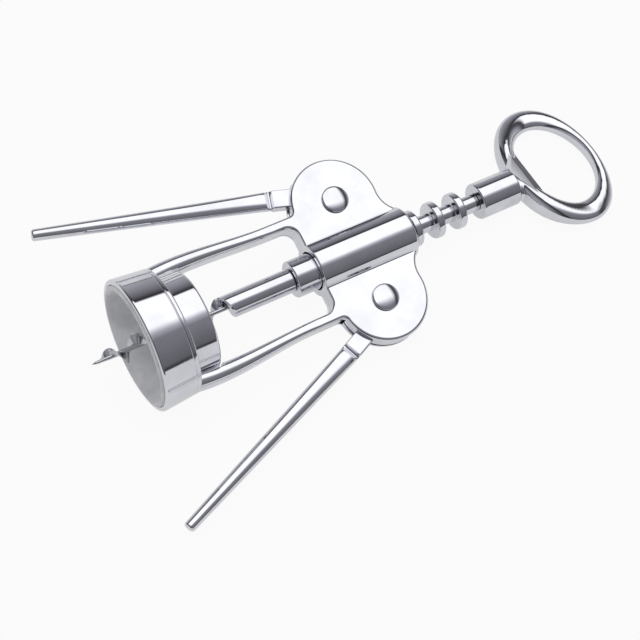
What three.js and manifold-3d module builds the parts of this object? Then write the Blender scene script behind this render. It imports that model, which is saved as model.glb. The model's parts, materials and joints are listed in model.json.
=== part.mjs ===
// Wing corkscrew with a cap-lifter handle, in millimetres.
// Tool frame: +X runs from the bottle mouth to the handle, +Y to the left lever, +Z out of the front face.
// The tool lies on a table: the last group rolls and tips the tool frame until it rests at z = 0.
import * as THREE from 'three';
import { mergeVertices } from 'three/addons/utils/BufferGeometryUtils.js';
import Module from 'manifold-3d';

const wasm = await Module();
wasm.setup();

// How the tool lies
const rollDeg = 16.6;
const pitchDeg = 6.3;

// Clearances
const seatGap = 0.15;
const runGap = 0.3;
const overrun = 1;
const meshTolerance = 0.002;

// Bell, the ring over the bottle
const bellMouthRadius = 20;
const bellShoulderRadius = 19;
const bellHeight = 11.3;
const bellWall = 1.5;
const bellShoulder = 1.6;
const bellEdge = 0.6;

// Bottle cup, the small ring that stands out of the bell's shoulder
const cupRadius = 15.1;
const cupRise = 8.2;
const cupWall = 1.2;
const cupFlange = 1.2;
const cupEdge = 0.4;
const cupSeatHeight = bellHeight - bellShoulder - seatGap;

// Plastic liner inside the bell
const linerWall = 1.7;
const linerTopWall = 2.3;
const linerLip = 0.5;

// Frame
const frameThickness = 7.4;
const cheekThickness = 1.7;
const cheekEdge = 0.35;
const windowEnd = 57.8;
const windowHalfWidth = 13.9;
const windowCorner = 3.4;
const railOuter = 17;
const railRootLength = 7.2;
const railHalfWidth = 2.65;
const railBow = 1.1;
const railSquare = 2.6;
const railFoot = 16.1;
const cupRelief = 0.7;
const earRadius = 13.7;
const earInset = 0.6;
const earFillet = 1.6;
const neckRadius = 8;
const neckAngleDeg = -6;

// Barrel
const barrelRadius = 8.1;
const barrelLip = 0.2;
const barrelReach = 17.1;
const barrelChamfer = 0.6;

// Pivots and rivets
const pivotSetback = 15.1;
const pivotOffset = 16.4;
const rivetRadius = 2.6;
const rivetHeadRadius = 4.28;
const rivetHeadHeight = 1.25;
const rivetHeadRim = 0.35;

// Annular rack
const rackRadius = 5.7;
const rackNeckRadius = 2.8;
const rackPitch = 7.9;
const rackRing = 2.5;
const rackRingCount = 6;
const ringSetback = 4.3;
const collarReach = 7.4;
const rackTravel = 25.8;
const collarRadius = 5.62;
const rackRound = 0.7;

// Gear sector and its mesh with the rack
const gearPitchRadius = 12.3;
const gearOuterRadius = 13;
const gearThickness = 3.4;
const meshSideClearance = 1;
const meshTipClearance = 0.35;
const slotClearance = 0.4;

// Lever
const leverLength = 89;
const leverLeftDeg = 15.8;
const leverRightDeg = 23.6;
const leverShutDeg = 5.5;
const blockStart = 14.9;
const blockLength = 3.7;
const blockWidth = 5.7;
const blockThickness = 5.4;
const armRootThickness = 3.9;
const armTipWidth = 3.3;
const armTipThickness = 3.4;
const armStep = 1.1;
const armTipRound = 0.8;

// Spindle
const spindleRadius = 3.6;
const spindleClear = 10.8;
const spindleEdge = 0.5;
const stemRadius = 1.8;
const stemDepth = 4;

// Worm
const wormCore = 1.15;
const wormRadius = 3.65;
const wormPitch = 8.8;
const wormPhaseDeg = -29.6;
const wormTip = -13.2;
const wormPoint = 6;
const wormGrow = 9;
const tipShare = 0.45;
const footShare = 0.3;
const wormShank = 11;
const flightCrest = 0.5;
const flightRoot = 1.9;
const sinkShare = 0.6;

// Ferrule between the rack and the handle
const ferruleRadius = 5.7;
const ferruleLength = 13.8;
const ferruleEdge = 0.5;

// Handle
const spigotRadius = 3.4;
const spigotLength = 5;
const throatRadius = 5.1;
const throatLength = 4.8;
const throatFlare = 8.6;
const loopReach = 17.8;
const loopHalfLength = 13.5;
const loopHalfWidth = 19.2;
const loopFlank = 3.8;
const loopFarEnd = 1.4;
const loopNearEnd = 3.8;
const loopHalfThickness = 2.35;
const loopSquare = 2.5;
const lipWidth = 18;
const lipHeight = 0.9;
const lipThickness = 3.6;
const lipRoot = 3;
const lipNose = 0.9;
const lipSlope = 1.6;
const lipShare = 0.75;

const rad = THREE.MathUtils.degToRad;

// Stations along the axis, each counted from the one it hangs on
const barrelStart = windowEnd - barrelLip;
const pivotStation = windowEnd + pivotSetback;
const barrelEnd = pivotStation + barrelReach;
const rackStart = windowEnd - collarReach;
const rackFirstRing = pivotStation - ringSetback;
const ferruleStart = barrelEnd + rackTravel;
const spindleStart = bellHeight + cupRise + spindleClear;
const loopCentre = ferruleStart + ferruleLength + loopReach;

// Facets round each kind of body
const ringFacets = 48;
const shaftFacets = 28;
const pinFacets = 20;
const wormFacets = 14;

// Materials
const chrome = new THREE.MeshStandardMaterial({ color: 0xc9ccd1, roughness: 0.08, metalness: 1 });
const steel = new THREE.MeshStandardMaterial({ color: 0xb4b6ba, roughness: 0.16, metalness: 1 });
const frosted = new THREE.MeshStandardMaterial({ color: 0xc9cbca, roughness: 0.45, metalness: 0 });

// Turns a closed three.js geometry into a manifold solid.
function solid(geometry) {
  const bare = geometry.clone();
  bare.deleteAttribute('normal');
  bare.deleteAttribute('uv');
  const merged = mergeVertices(bare);
  return new wasm.Manifold(new wasm.Mesh({
    numProp: 3,
    vertProperties: new Float32Array(merged.attributes.position.array),
    triVerts: new Uint32Array(merged.index.array),
  }));
}

// Turns a manifold solid back into a three.js geometry with flat normals.
function geometryOf(body) {
  const mesh = body.getMesh();
  const geometry = new THREE.BufferGeometry();
  geometry.setAttribute('position', new THREE.BufferAttribute(new Float32Array(mesh.vertProperties), 3));
  geometry.setIndex(new THREE.BufferAttribute(new Uint32Array(mesh.triVerts), 1));
  geometry.computeVertexNormals();
  return geometry;
}

// A body of revolution about +X from closed profile points [station along X, radius].
function revolve(profile, facets = ringFacets) {
  const points = profile.map(([station, radius]) => new THREE.Vector2(radius, station));
  points.push(points[0].clone());
  return new THREE.LatheGeometry(points, facets).rotateZ(-Math.PI / 2);
}

// Points of a rounded corner: an arc in [station, radius] about a centre.
function corner(station, radius, round, fromDeg, toDeg, steps = 2) {
  return Array.from({ length: steps + 1 }, (_, i) => {
    const angle = rad(fromDeg + ((toDeg - fromDeg) * i) / steps);
    return [station + round * Math.cos(angle), radius + round * Math.sin(angle)];
  });
}

// A rod along +X between two stations.
function rod(start, end, radius, facets = ringFacets) {
  return solid(new THREE.CylinderGeometry(radius, radius, end - start, facets)
    .rotateZ(-Math.PI / 2)
    .translate((start + end) / 2, 0, 0));
}

// A pin along +Z through a point of the frame's plane.
function pin(x, y, radius, length, facets = pinFacets) {
  return solid(new THREE.CylinderGeometry(radius, radius, length, facets)
    .rotateX(Math.PI / 2)
    .translate(x, y, 0));
}

// A superellipse with the given half sizes: exponent 2 is an ellipse, higher is squarer.
function superellipse(halfX, halfY, exponent, count) {
  return Array.from({ length: count }, (_, i) => {
    const angle = (2 * Math.PI * i) / count;
    const c = Math.cos(angle);
    const s = Math.sin(angle);
    return [
      halfX * Math.sign(c) * Math.abs(c) ** (2 / exponent),
      halfY * Math.sign(s) * Math.abs(s) ** (2 / exponent),
    ];
  });
}

// Skins rings of points, all with the same count: a closed chain, or an open one with flat caps.
// Each ring's points run anticlockwise about the way the chain runs.
function skin(rings, closed = false) {
  const count = rings[0].length;
  const positions = rings.flat().flatMap((p) => [p.x, p.y, p.z]);
  const index = [];
  const last = closed ? rings.length : rings.length - 1;
  for (let i = 0; i < last; i += 1) {
    const a = i * count;
    const b = ((i + 1) % rings.length) * count;
    for (let j = 0; j < count; j += 1) {
      const k = (j + 1) % count;
      index.push(a + j, b + k, b + j, a + j, a + k, b + k);
    }
  }
  if (!closed) {
    const end = (rings.length - 1) * count;
    for (let j = 1; j < count - 1; j += 1) {
      index.push(0, j + 1, j);
      index.push(end, end + j, end + j + 1);
    }
  }
  const geometry = new THREE.BufferGeometry();
  geometry.setAttribute('position', new THREE.Float32BufferAttribute(positions, 3));
  geometry.setIndex(index);
  geometry.computeVertexNormals();
  return geometry;
}

// Bell: a thin ring with a shoulder, open for the cup.
function bell() {
  const holeRadius = cupRadius + runGap;
  const underShoulder = bellHeight - bellShoulder;
  return solid(revolve([
    [0, bellMouthRadius - bellWall],
    ...corner(bellEdge, bellMouthRadius - bellEdge, bellEdge, 180, 90),
    ...corner(bellHeight - bellEdge, bellShoulderRadius - bellEdge, bellEdge, 90, 0),
    [bellHeight, holeRadius],
    [underShoulder, holeRadius],
    [underShoulder, bellShoulderRadius - bellWall],
  ]));
}

// Outline of one cheek on the +Y side of the axis, with its ear and the root of its rail.
function cheekOutline() {
  const shape = new THREE.Shape();
  const earOffset = pivotOffset - earInset;
  const rootStart = windowEnd - railRootLength;
  shape.moveTo(windowEnd, -overrun);
  shape.lineTo(windowEnd, windowHalfWidth - windowCorner);
  shape.absarc(windowEnd - windowCorner, windowHalfWidth - windowCorner, windowCorner, 0, Math.PI / 2, false);
  shape.lineTo(rootStart, windowHalfWidth);
  shape.lineTo(rootStart, railOuter);
  const filletRise = railOuter + earFillet - earOffset;
  const filletReach = Math.sqrt((earRadius + earFillet) ** 2 - filletRise ** 2);
  const filletStation = pivotStation - filletReach;
  const filletAngle = Math.atan2(-filletRise, filletReach);
  shape.absarc(filletStation, railOuter + earFillet, earFillet, -Math.PI / 2, filletAngle, false);
  const neckAngle = rad(neckAngleDeg);
  shape.absarc(pivotStation, earOffset, earRadius, Math.PI + filletAngle, neckAngle, true);
  const neckStation = pivotStation + (earRadius + neckRadius) * Math.cos(neckAngle);
  const neckOffset = earOffset + (earRadius + neckRadius) * Math.sin(neckAngle);
  const chord = Math.sqrt(barrelRadius ** 2 - (frameThickness / 2) ** 2);
  const neckEnd = Math.PI + Math.asin((neckOffset - chord) / neckRadius);
  shape.absarc(neckStation, neckOffset, neckRadius, Math.PI + neckAngle, neckEnd, false);
  shape.lineTo(neckStation + neckRadius * Math.cos(neckEnd), -overrun);
  return shape;
}

// One cheek plate, its front face at the given height.
function cheek(front) {
  const plate = solid(new THREE.ExtrudeGeometry(cheekOutline(), {
    depth: cheekThickness - 2 * cheekEdge,
    bevelEnabled: true,
    bevelSize: cheekEdge,
    bevelOffset: -cheekEdge,
    bevelThickness: cheekEdge,
    bevelSegments: 1,
    curveSegments: 8,
  }).translate(0, 0, front - cheekThickness + cheekEdge));
  return plate.add(plate.mirror([0, 1, 0]));
}

// One rail on the +Y side: an oval bar from the bell's shoulder to its root between the cheeks.
function rail() {
  const rootStart = windowEnd - railRootLength;
  const rootOffset = (windowHalfWidth + railOuter) / 2;
  const footStation = bellHeight - bellShoulder / 2;
  const middle = (footStation + rootStart) / 2;
  const path = new THREE.QuadraticBezierCurve3(
    new THREE.Vector3(footStation, railFoot, 0),
    new THREE.Vector3(middle, Math.max(railFoot, rootOffset) + railBow, 0),
    new THREE.Vector3(rootStart + railHalfWidth, rootOffset, 0),
  );
  const section = superellipse(frameThickness / 2, railHalfWidth, railSquare, 14);
  const shape = new THREE.Shape(section.map(([x, y]) => new THREE.Vector2(x, y)));
  const bar = solid(new THREE.ExtrudeGeometry(shape, { steps: 7, bevelEnabled: false, extrudePath: path }));
  const rootEnd = pivotStation - gearOuterRadius - slotClearance - cheekThickness / 2;
  const rootWidth = railOuter - windowHalfWidth - 2 * cheekEdge;
  const root = solid(new THREE.BoxGeometry(rootEnd - rootStart, rootWidth, frameThickness - 2 * cheekEdge)
    .translate((rootStart + rootEnd) / 2, rootOffset, 0));
  const relief = rod(footStation - overrun, bellHeight + cupRise + overrun, cupRadius + cupRelief);
  return bar.add(root).subtract(relief);
}

// Frame casting: bell, two rails, two cheeks with ears, and the barrel that guides the rack.
function frameCasting() {
  const front = frameThickness / 2;
  const barrel = solid(revolve([
    [barrelStart, 0],
    [barrelStart, barrelRadius - cheekEdge],
    [barrelStart + cheekEdge, barrelRadius],
    [barrelEnd - barrelChamfer, barrelRadius],
    [barrelEnd, barrelRadius - barrelChamfer],
    [barrelEnd, 0],
  ], shaftFacets));
  const side = rail();
  const casting = wasm.Manifold.union([
    bell(),
    barrel,
    side,
    side.mirror([0, 1, 0]),
    cheek(front),
    cheek(cheekThickness - front),
  ]);
  const slotRadius = gearOuterRadius + slotClearance;
  const slotWidth = frameThickness - 2 * cheekThickness;
  const cuts = [rod(barrelStart - overrun, ferruleStart, rackRadius + runGap, shaftFacets)];
  for (const offset of [pivotOffset, -pivotOffset]) {
    cuts.push(pin(pivotStation, offset, slotRadius, slotWidth, shaftFacets));
    cuts.push(pin(pivotStation, offset, rivetRadius + seatGap, frameThickness + overrun));
  }
  return geometryOf(casting.subtract(wasm.Manifold.union(cuts)).simplify(meshTolerance));
}

// Bottle cup: a pressed ring whose flange sits under the bell's shoulder.
function bottleCup() {
  const top = bellHeight + cupRise;
  const inner = cupRadius - cupWall;
  const flangeRadius = bellShoulderRadius - bellWall - runGap;
  return revolve([
    [cupSeatHeight - cupFlange, inner],
    [cupSeatHeight - cupFlange, flangeRadius],
    [cupSeatHeight, flangeRadius],
    [cupSeatHeight, cupRadius],
    ...corner(top - cupEdge, cupRadius - cupEdge, cupEdge, 90, 0),
    [top, inner + cupEdge],
    [top - cupEdge, inner],
  ]);
}

// Liner: a soft sleeve in the bell that meets the bottle's rim.
function cupLiner() {
  const top = cupSeatHeight - cupFlange - seatGap;
  const slope = (bellMouthRadius - bellShoulderRadius) / (bellHeight - bellShoulder);
  const outer = bellMouthRadius - bellWall - seatGap;
  return revolve([
    [-linerLip, outer - linerWall + linerLip],
    [-linerLip, outer - linerLip],
    [0, outer],
    [top, outer - slope * top],
    [top, outer - slope * top - linerTopWall],
    [linerLip, outer - linerWall],
  ]);
}

// Rivet through both cheeks and a lever, with a domed head on each face.
function pivotRivet() {
  const seat = frameThickness / 2 + seatGap;
  const rise = rivetHeadHeight - rivetHeadRim;
  const domeRadius = (rivetHeadRadius ** 2 + rise ** 2) / (2 * rise);
  const half = Math.asin(rivetHeadRadius / domeRadius);
  const domeSteps = 3;
  const dome = Array.from({ length: domeSteps + 1 }, (_, i) => {
    const angle = (half * (domeSteps - i)) / domeSteps;
    return [
      seat + rivetHeadHeight - domeRadius * (1 - Math.cos(angle)),
      domeRadius * Math.sin(angle),
    ];
  });
  const upper = [[seat, rivetRadius], [seat, rivetHeadRadius], ...dome];
  const lower = upper.map(([station, radius]) => [-station, radius]).reverse();
  const profile = [...lower, ...upper];
  const points = profile.map(([station, radius]) => new THREE.Vector2(Math.max(radius, 0), station));
  return new THREE.LatheGeometry(points, pinFacets).rotateX(Math.PI / 2);
}

// Stations of the rack's rings at rest.
function ringStations() {
  return Array.from({ length: rackRingCount }, (_, i) => rackFirstRing + i * rackPitch);
}

// Annular rack: rings cut round a sleeve, with a plain collar that guides it in the barrel.
function annularRack() {
  const bore = stemRadius + seatGap;
  const collarEnd = rackFirstRing - rackPitch + rackRing / 2;
  const profile = [
    [rackStart, bore],
    ...corner(rackStart + rackRound, collarRadius - rackRound, rackRound, 180, 90),
    ...corner(collarEnd - rackRound, rackRadius - rackRound, rackRound, 90, 0, 1),
    [collarEnd, rackNeckRadius],
  ];
  for (const station of ringStations()) {
    const low = station - rackRing / 2;
    const high = station + rackRing / 2;
    profile.push(
      [low, rackNeckRadius],
      ...corner(low + rackRound, rackRadius - rackRound, rackRound, 180, 90, 1),
      ...corner(high - rackRound, rackRadius - rackRound, rackRound, 90, 0, 1),
      [high, rackNeckRadius],
    );
  }
  const end = ferruleStart - seatGap;
  profile.push([end, rackNeckRadius], [end, bore]);
  return revolve(profile, shaftFacets);
}

// Outline of a gear sector that rolls on the rack without touching it.
// Along each ray from the pivot the tooth reaches as far as the rings, made larger by the
// clearances, ever let it on their way past.
function gearOutline() {
  const raySteps = 180;
  const plainRay = 4;
  const motionSteps = 280;
  const meanDeg = (leverLeftDeg + leverRightDeg) / 2;
  const travel = ferruleStart - barrelEnd;
  const sweepFrom = rad(leverShutDeg - leverLeftDeg);
  const sweepTo = travel / gearPitchRadius;
  const halfRing = rackRing / 2 + meshSideClearance;
  const rimReach = pivotOffset - rackRadius - meshTipClearance;
  const stations = [rackFirstRing - rackPitch, ...ringStations()].map((x) => x - pivotStation);
  const points = [];
  for (let i = 0; i < raySteps; i += 1) {
    const ray = (2 * Math.PI * i) / raySteps;
    let reach = gearOuterRadius;
    for (let j = 0; j <= motionSteps; j += 1) {
      const turn = sweepFrom + ((sweepTo - sweepFrom) * j) / motionSteps;
      // direction of the ray when the arm stands at its mean angle plus the turn
      const heading = ray + rad(meanDeg) + turn;
      const along = -Math.cos(heading);
      const inward = -Math.sin(heading);
      if (inward > 0) {
        for (const station of stations) {
          const centre = station - gearPitchRadius * turn;
          const rim = rimReach / inward;
          const sides = [(centre - halfRing) / along, (centre + halfRing) / along].sort((a, b) => a - b);
          const enter = Math.max(rim, sides[0]);
          if (enter < sides[1] && enter > 0) reach = Math.min(reach, enter);
        }
      }
    }
    // the plain rim needs fewer points than the teeth
    if (reach < gearOuterRadius || i % plainRay === 0) {
      points.push(new THREE.Vector2(reach * Math.cos(ray), reach * Math.sin(ray)));
    }
  }
  return new THREE.Shape(points);
}

// Lever in its own frame: pivot at the origin, tip on +X, outer side on +Y.
function leverSolid() {
  const gear = solid(new THREE.ExtrudeGeometry(gearOutline(), { depth: gearThickness, bevelEnabled: false })
    .translate(0, 0, -gearThickness / 2));
  const webEnd = blockStart + blockLength / 2;
  const web = solid(new THREE.BoxGeometry(webEnd - rivetHeadRadius, blockWidth, gearThickness)
    .translate((webEnd + rivetHeadRadius) / 2, blockWidth / 2, 0));
  const blockEnd = blockStart + blockLength;
  const armStart = blockEnd + armStep;
  const half = blockWidth / 2;
  const tipStart = leverLength - armTipRound;
  const lean = half / (leverLength - armStart);
  // station, centre, half width, half thickness and squareness of each section
  const sections = [
    [blockStart, half, half - cheekEdge, blockThickness / 2 - cheekEdge, 7],
    [blockStart + cheekEdge, half, half, blockThickness / 2, 7],
    [blockEnd, half, half, blockThickness / 2, 7],
    [blockEnd + armStep / 4, half, half, (blockThickness + armRootThickness) / 4, 6],
    [blockEnd + armStep / 2, half, half, armRootThickness / 2, 4.5],
    [armStart, half, half, armRootThickness / 2, 4],
    [tipStart, half - lean * (tipStart - armStart), armTipWidth / 2, armTipThickness / 2, 3],
    [leverLength, 0, (armTipWidth - armTipRound) / 2, (armTipThickness - armTipRound) / 2, 3],
  ];
  const rings = sections.map(([x, y, halfWidth, halfThickness, exponent]) => (
    superellipse(halfWidth, halfThickness, exponent, 20)
      .map(([across, up]) => new THREE.Vector3(x, y + across, up))
  ));
  const arm = solid(skin(rings));
  const bore = pin(0, 0, rivetRadius + runGap, gearThickness + overrun);
  return wasm.Manifold.union([gear, web, arm]).subtract(bore);
}

// Spindle: the shaft under the rack, with a stem through the rack and a socket for the worm.
function spindle() {
  const shoulder = rackStart - seatGap;
  const socketRadius = wormCore + seatGap;
  const socketEnd = spindleStart + wormShank + seatGap;
  const stemEnd = ferruleStart + ferruleLength + stemDepth;
  return revolve([
    [socketEnd, 0],
    [socketEnd, socketRadius],
    [spindleStart, socketRadius],
    ...corner(spindleStart + spindleEdge, spindleRadius - spindleEdge, spindleEdge, 180, 90),
    [shoulder, spindleRadius],
    [shoulder, stemRadius],
    [stemEnd, stemRadius],
    [stemEnd, 0],
  ], pinFacets);
}

// Worm: a pointed core with a spiral flight round it and a plain shank in the spindle.
function worm() {
  const stepsPerTurn = 16;
  const crestHalf = flightCrest / 2;
  const rootHalf = flightRoot / 2;
  const rootRadius = wormCore * sinkShare;
  const core = solid(revolve([
    [wormTip, 0],
    [wormTip + wormPoint / 4, wormCore * tipShare],
    [wormTip + wormPoint, wormCore],
    [spindleStart + wormShank, wormCore],
    [spindleStart + wormShank, 0],
  ], wormFacets));
  const flightStart = wormTip + wormPoint / 3;
  const length = spindleStart - seatGap - rootHalf - flightStart;
  const steps = Math.round((stepsPerTurn * length) / wormPitch);
  const rings = Array.from({ length: steps + 1 }, (_, i) => {
    const run = (length * i) / steps;
    const station = flightStart + run;
    const angle = rad(wormPhaseDeg) + (2 * Math.PI * station) / wormPitch;
    const grown = Math.sqrt(Math.min(1, run / wormGrow));
    const crest = rootRadius + (wormRadius - rootRadius) * grown;
    const at = (offset, radius) => (
      new THREE.Vector3(station + offset, radius * Math.cos(angle), radius * Math.sin(angle))
    );
    const foot = rootRadius * (footShare + (1 - footShare) * grown);
    return [
      at(rootHalf * grown, foot),
      at(crestHalf * grown, crest),
      at(-crestHalf * grown, crest),
      at(-rootHalf * grown, foot),
    ];
  });
  return geometryOf(core.add(solid(skin(rings.slice(1)))));
}

// Ferrule: the plain sleeve at the foot of the handle.
function handleFerrule() {
  const end = ferruleStart + ferruleLength;
  const counterbore = end - spigotLength - seatGap;
  return revolve([
    [ferruleStart, stemRadius + seatGap],
    ...corner(ferruleStart + ferruleEdge, ferruleRadius - ferruleEdge, ferruleEdge, 180, 90),
    ...corner(end - ferruleEdge, ferruleRadius - ferruleEdge, ferruleEdge, 90, 0),
    [end, spigotRadius + seatGap],
    [counterbore, spigotRadius + seatGap],
    [counterbore, stemRadius + seatGap],
  ], shaftFacets);
}

// Handle: spigot, a throat that flares into the oval loop, and the lip inside it that lifts a bottle cap.
function handleLoop() {
  const seat = ferruleStart + ferruleLength;
  const throatStart = seat + seatGap;
  const throatEnd = throatStart + throatLength;
  const steps = 48;
  const rings = [];
  for (let i = 0; i < steps; i += 1) {
    const angle = (-2 * Math.PI * i) / steps;
    const c = Math.cos(angle);
    const s = Math.sin(angle);
    const centre = new THREE.Vector3(loopCentre + loopHalfLength * c, loopHalfWidth * s, 0);
    const normal = new THREE.Vector3(loopHalfWidth * c, loopHalfLength * s, 0).normalize();
    const end = c > 0 ? loopFarEnd : loopNearEnd;
    const halfWidth = loopFlank + (end - loopFlank) * c * c;
    rings.push(superellipse(halfWidth, loopHalfThickness, loopSquare, 14)
      .map(([across, up]) => centre.clone().addScaledVector(normal, across).setZ(up)));
  }
  const loop = solid(skin(rings, true));
  const spigot = rod(throatStart - spigotLength, throatEnd, spigotRadius, shaftFacets);
  const flareSteps = 5;
  const flare = Array.from({ length: flareSteps + 1 }, (_, i) => {
    const share = i / flareSteps;
    const width = throatRadius + (throatFlare - throatRadius) * share ** 2;
    const height = throatRadius + (loopHalfThickness - throatRadius) * share;
    return superellipse(width, height, 2, shaftFacets)
      .map(([across, up]) => new THREE.Vector3(throatStart + throatLength * share, across, up));
  });
  const boreEnd = seat + stemDepth + seatGap;
  const stemBore = rod(throatStart - spigotLength - overrun, boreEnd, stemRadius + seatGap, pinFacets);
  const inner = loopCentre - loopHalfLength + loopNearEnd;
  const lipFloor = -loopHalfThickness * lipShare;
  const lipShape = new THREE.Shape([
    new THREE.Vector2(inner - lipRoot, lipFloor + lipThickness),
    new THREE.Vector2(inner - lipRoot, lipFloor),
    new THREE.Vector2(inner + lipHeight, lipFloor),
    new THREE.Vector2(inner + lipHeight, lipFloor + lipNose),
    new THREE.Vector2(inner - lipSlope, lipFloor + lipThickness),
  ]);
  const lip = solid(new THREE.ExtrudeGeometry(lipShape, { depth: lipWidth, bevelEnabled: false })
    .rotateX(Math.PI / 2)
    .translate(0, lipWidth / 2, 0));
  return geometryOf(wasm.Manifold.union([loop, spigot, solid(skin(flare)), lip]).subtract(stemBore));
}

function part(name, geometry, material) {
  const mesh = new THREE.Mesh(geometry, material);
  mesh.name = name;
  return mesh;
}

const tool = new THREE.Group();
tool.add(
  part('frame_casting', frameCasting(), chrome),
  part('bottle_cup', bottleCup(), chrome),
  part('cup_liner', cupLiner(), frosted),
  part('annular_rack', annularRack(), chrome),
  part('spindle', spindle(), chrome),
  part('worm', worm(), steel),
  part('handle_ferrule', handleFerrule(), chrome),
);

const leverGeometry = geometryOf(leverSolid());
for (const [side, sign, angleDeg] of [['left', 1, leverLeftDeg], ['right', -1, leverRightDeg]]) {
  const pivot = new THREE.Group();
  pivot.position.set(pivotStation, sign * pivotOffset, 0);
  pivot.rotation.z = sign * rad(180 - angleDeg);
  // the same casting serves both sides: the left one is turned over
  const lever = part(`${side}_lever`, leverGeometry.clone(), chrome);
  if (sign > 0) lever.rotation.x = Math.PI;
  pivot.add(lever);
  tool.add(pivot);
  const rivet = part(`${side}_pivot_rivet`, pivotRivet(), chrome);
  rivet.position.set(pivotStation, sign * pivotOffset, 0);
  tool.add(rivet);
}

const handle = part('handle_loop', handleLoop(), chrome);
handle.rotation.x = -rad(rollDeg);
tool.add(handle);

// The tool as it lies: rolled about its length, tipped down to the handle, and set on z = 0.
tool.rotation.x = rad(rollDeg);
const lying = new THREE.Group();
lying.rotation.y = rad(pitchDeg);
lying.add(tool);
lying.updateMatrixWorld(true);
const box = new THREE.Box3().setFromObject(lying, true);
lying.position.set(-(box.min.x + box.max.x) / 2, -(box.min.y + box.max.y) / 2, -box.min.z);

export default lying;
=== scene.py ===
"""Looks of a wing corkscrew: bright chrome plate, a frosted liner, and a plain pale studio round it.

Every piece is modelled in millimetres in the tool's own frame (+X from the bell's mouth to the handle,
+Y to the left lever, +Z out of the front face) and is then laid on the table by one matrix.
"""

import json
import logging
import math
from dataclasses import dataclass, field
from enum import Enum

import bmesh
import bpy
import numpy as np
from mathutils import Matrix, Vector

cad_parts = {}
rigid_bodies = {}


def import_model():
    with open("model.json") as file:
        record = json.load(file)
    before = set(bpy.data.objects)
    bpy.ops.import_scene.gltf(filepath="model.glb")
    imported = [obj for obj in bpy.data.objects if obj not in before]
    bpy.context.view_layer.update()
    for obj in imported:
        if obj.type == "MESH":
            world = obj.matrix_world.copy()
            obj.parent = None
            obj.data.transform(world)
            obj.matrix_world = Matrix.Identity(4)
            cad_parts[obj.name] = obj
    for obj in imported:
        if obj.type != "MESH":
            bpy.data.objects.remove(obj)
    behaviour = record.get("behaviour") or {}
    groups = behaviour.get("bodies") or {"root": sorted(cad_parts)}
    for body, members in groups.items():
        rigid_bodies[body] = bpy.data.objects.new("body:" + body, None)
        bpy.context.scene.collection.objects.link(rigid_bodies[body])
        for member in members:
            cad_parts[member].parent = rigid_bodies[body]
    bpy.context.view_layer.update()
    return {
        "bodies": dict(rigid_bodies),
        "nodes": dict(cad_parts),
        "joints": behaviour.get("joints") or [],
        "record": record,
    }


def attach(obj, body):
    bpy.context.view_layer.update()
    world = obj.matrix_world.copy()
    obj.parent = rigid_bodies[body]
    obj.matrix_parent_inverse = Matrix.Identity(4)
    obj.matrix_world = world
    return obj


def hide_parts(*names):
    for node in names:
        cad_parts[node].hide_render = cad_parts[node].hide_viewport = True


LOG = logging.getLogger("corkscrew")
MM = 0.001
WHITE = (1.0, 1.0, 1.0, 1.0)

Profile = list[tuple[float, float]]
Ring = list[tuple[float, float, float]]


class Facets(Enum):
    """How finely a round piece is divided."""

    RING = 160
    SHAFT = 96
    SECTION = 72
    PIN = 64
    SMALL = 48


class Slot(Enum):
    """Material slots of the record that the pieces take their finish from."""

    CASTING = "chrome_casting"
    PRESSING = "chrome_pressing"
    TURNING = "chrome_turning"
    WORM = "worm_steel"
    LINER = "liner_plastic"


class Work(Enum):
    """How other meshes are worked into a piece."""

    CUT = "DIFFERENCE"
    JOIN = "UNION"


def linear_colour(hex_code: str) -> tuple[float, float, float, float]:
    """Turns an sRGB colour into the linear colour that a shader takes.

    Args:
        hex_code: Six hexadecimal digits, with or without a leading hash.

    Returns:
        Linear red, green and blue, and an alpha of 1.
    """
    digits = hex_code.lstrip("#")
    channels = [int(digits[i : i + 2], 16) / 255 for i in (0, 2, 4)]
    red, green, blue = (
        c / 12.92 if c <= 0.04045 else ((c + 0.055) / 1.055) ** 2.4 for c in channels
    )
    return red, green, blue, 1.0


def add_node(
    tree: bpy.types.NodeTree,
    kind: str,
    inputs: dict[str | int, object] | None = None,
    **settings: object,
) -> bpy.types.Node:
    """Adds a node, with its settings, its values and its links.

    Args:
        tree: The node tree that gets the node.
        kind: The node's type name.
        inputs: For each input socket, a value, or an output socket to link to it.
        **settings: Properties of the node itself.

    Returns:
        The new node.
    """
    node = tree.nodes.new(kind)
    for name, value in settings.items():
        setattr(node, name, value)
    for name, value in (inputs or {}).items():
        if isinstance(value, bpy.types.NodeSocket):
            tree.links.new(value, node.inputs[name])
        else:
            node.inputs[name].default_value = value
    return node


# Plane and solid shapes


def between(first: float, last: float, share: float) -> float:
    """Gives the value that lies a share of the way from one to another."""
    return first + (last - first) * share


def rounded(points: Profile, rounds: list[float], steps: int = 5) -> Profile:
    """Rounds the corners of a closed outline.

    Args:
        points: The outline's corners in order.
        rounds: The radius at each corner, zero for a sharp one.
        steps: Segments in each rounded corner.

    Returns:
        The outline with an arc in place of each rounded corner.
    """
    out: Profile = []
    count = len(points)
    for i, (corner, radius) in enumerate(zip(points, rounds)):
        here = np.array(corner, float)
        before = np.array(points[i - 1], float) - here
        after = np.array(points[(i + 1) % count], float) - here
        if radius <= 0:
            out.append(tuple(here))
            continue
        before /= np.linalg.norm(before)
        after /= np.linalg.norm(after)
        half = math.acos(float(np.clip(before @ after, -1, 1))) / 2
        reach = radius / math.tan(half)
        centre = here + (before + after) / np.linalg.norm(before + after) * radius / math.sin(half)
        first = here + before * reach - centre
        last = here + after * reach - centre
        sweep = math.atan2(first[0] * last[1] - first[1] * last[0], float(first @ last))
        for step in range(steps + 1):
            turn = sweep * step / steps
            c, s = math.cos(turn), math.sin(turn)
            out.append(
                (centre[0] + c * first[0] - s * first[1], centre[1] + s * first[0] + c * first[1])
            )
    return out


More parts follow.
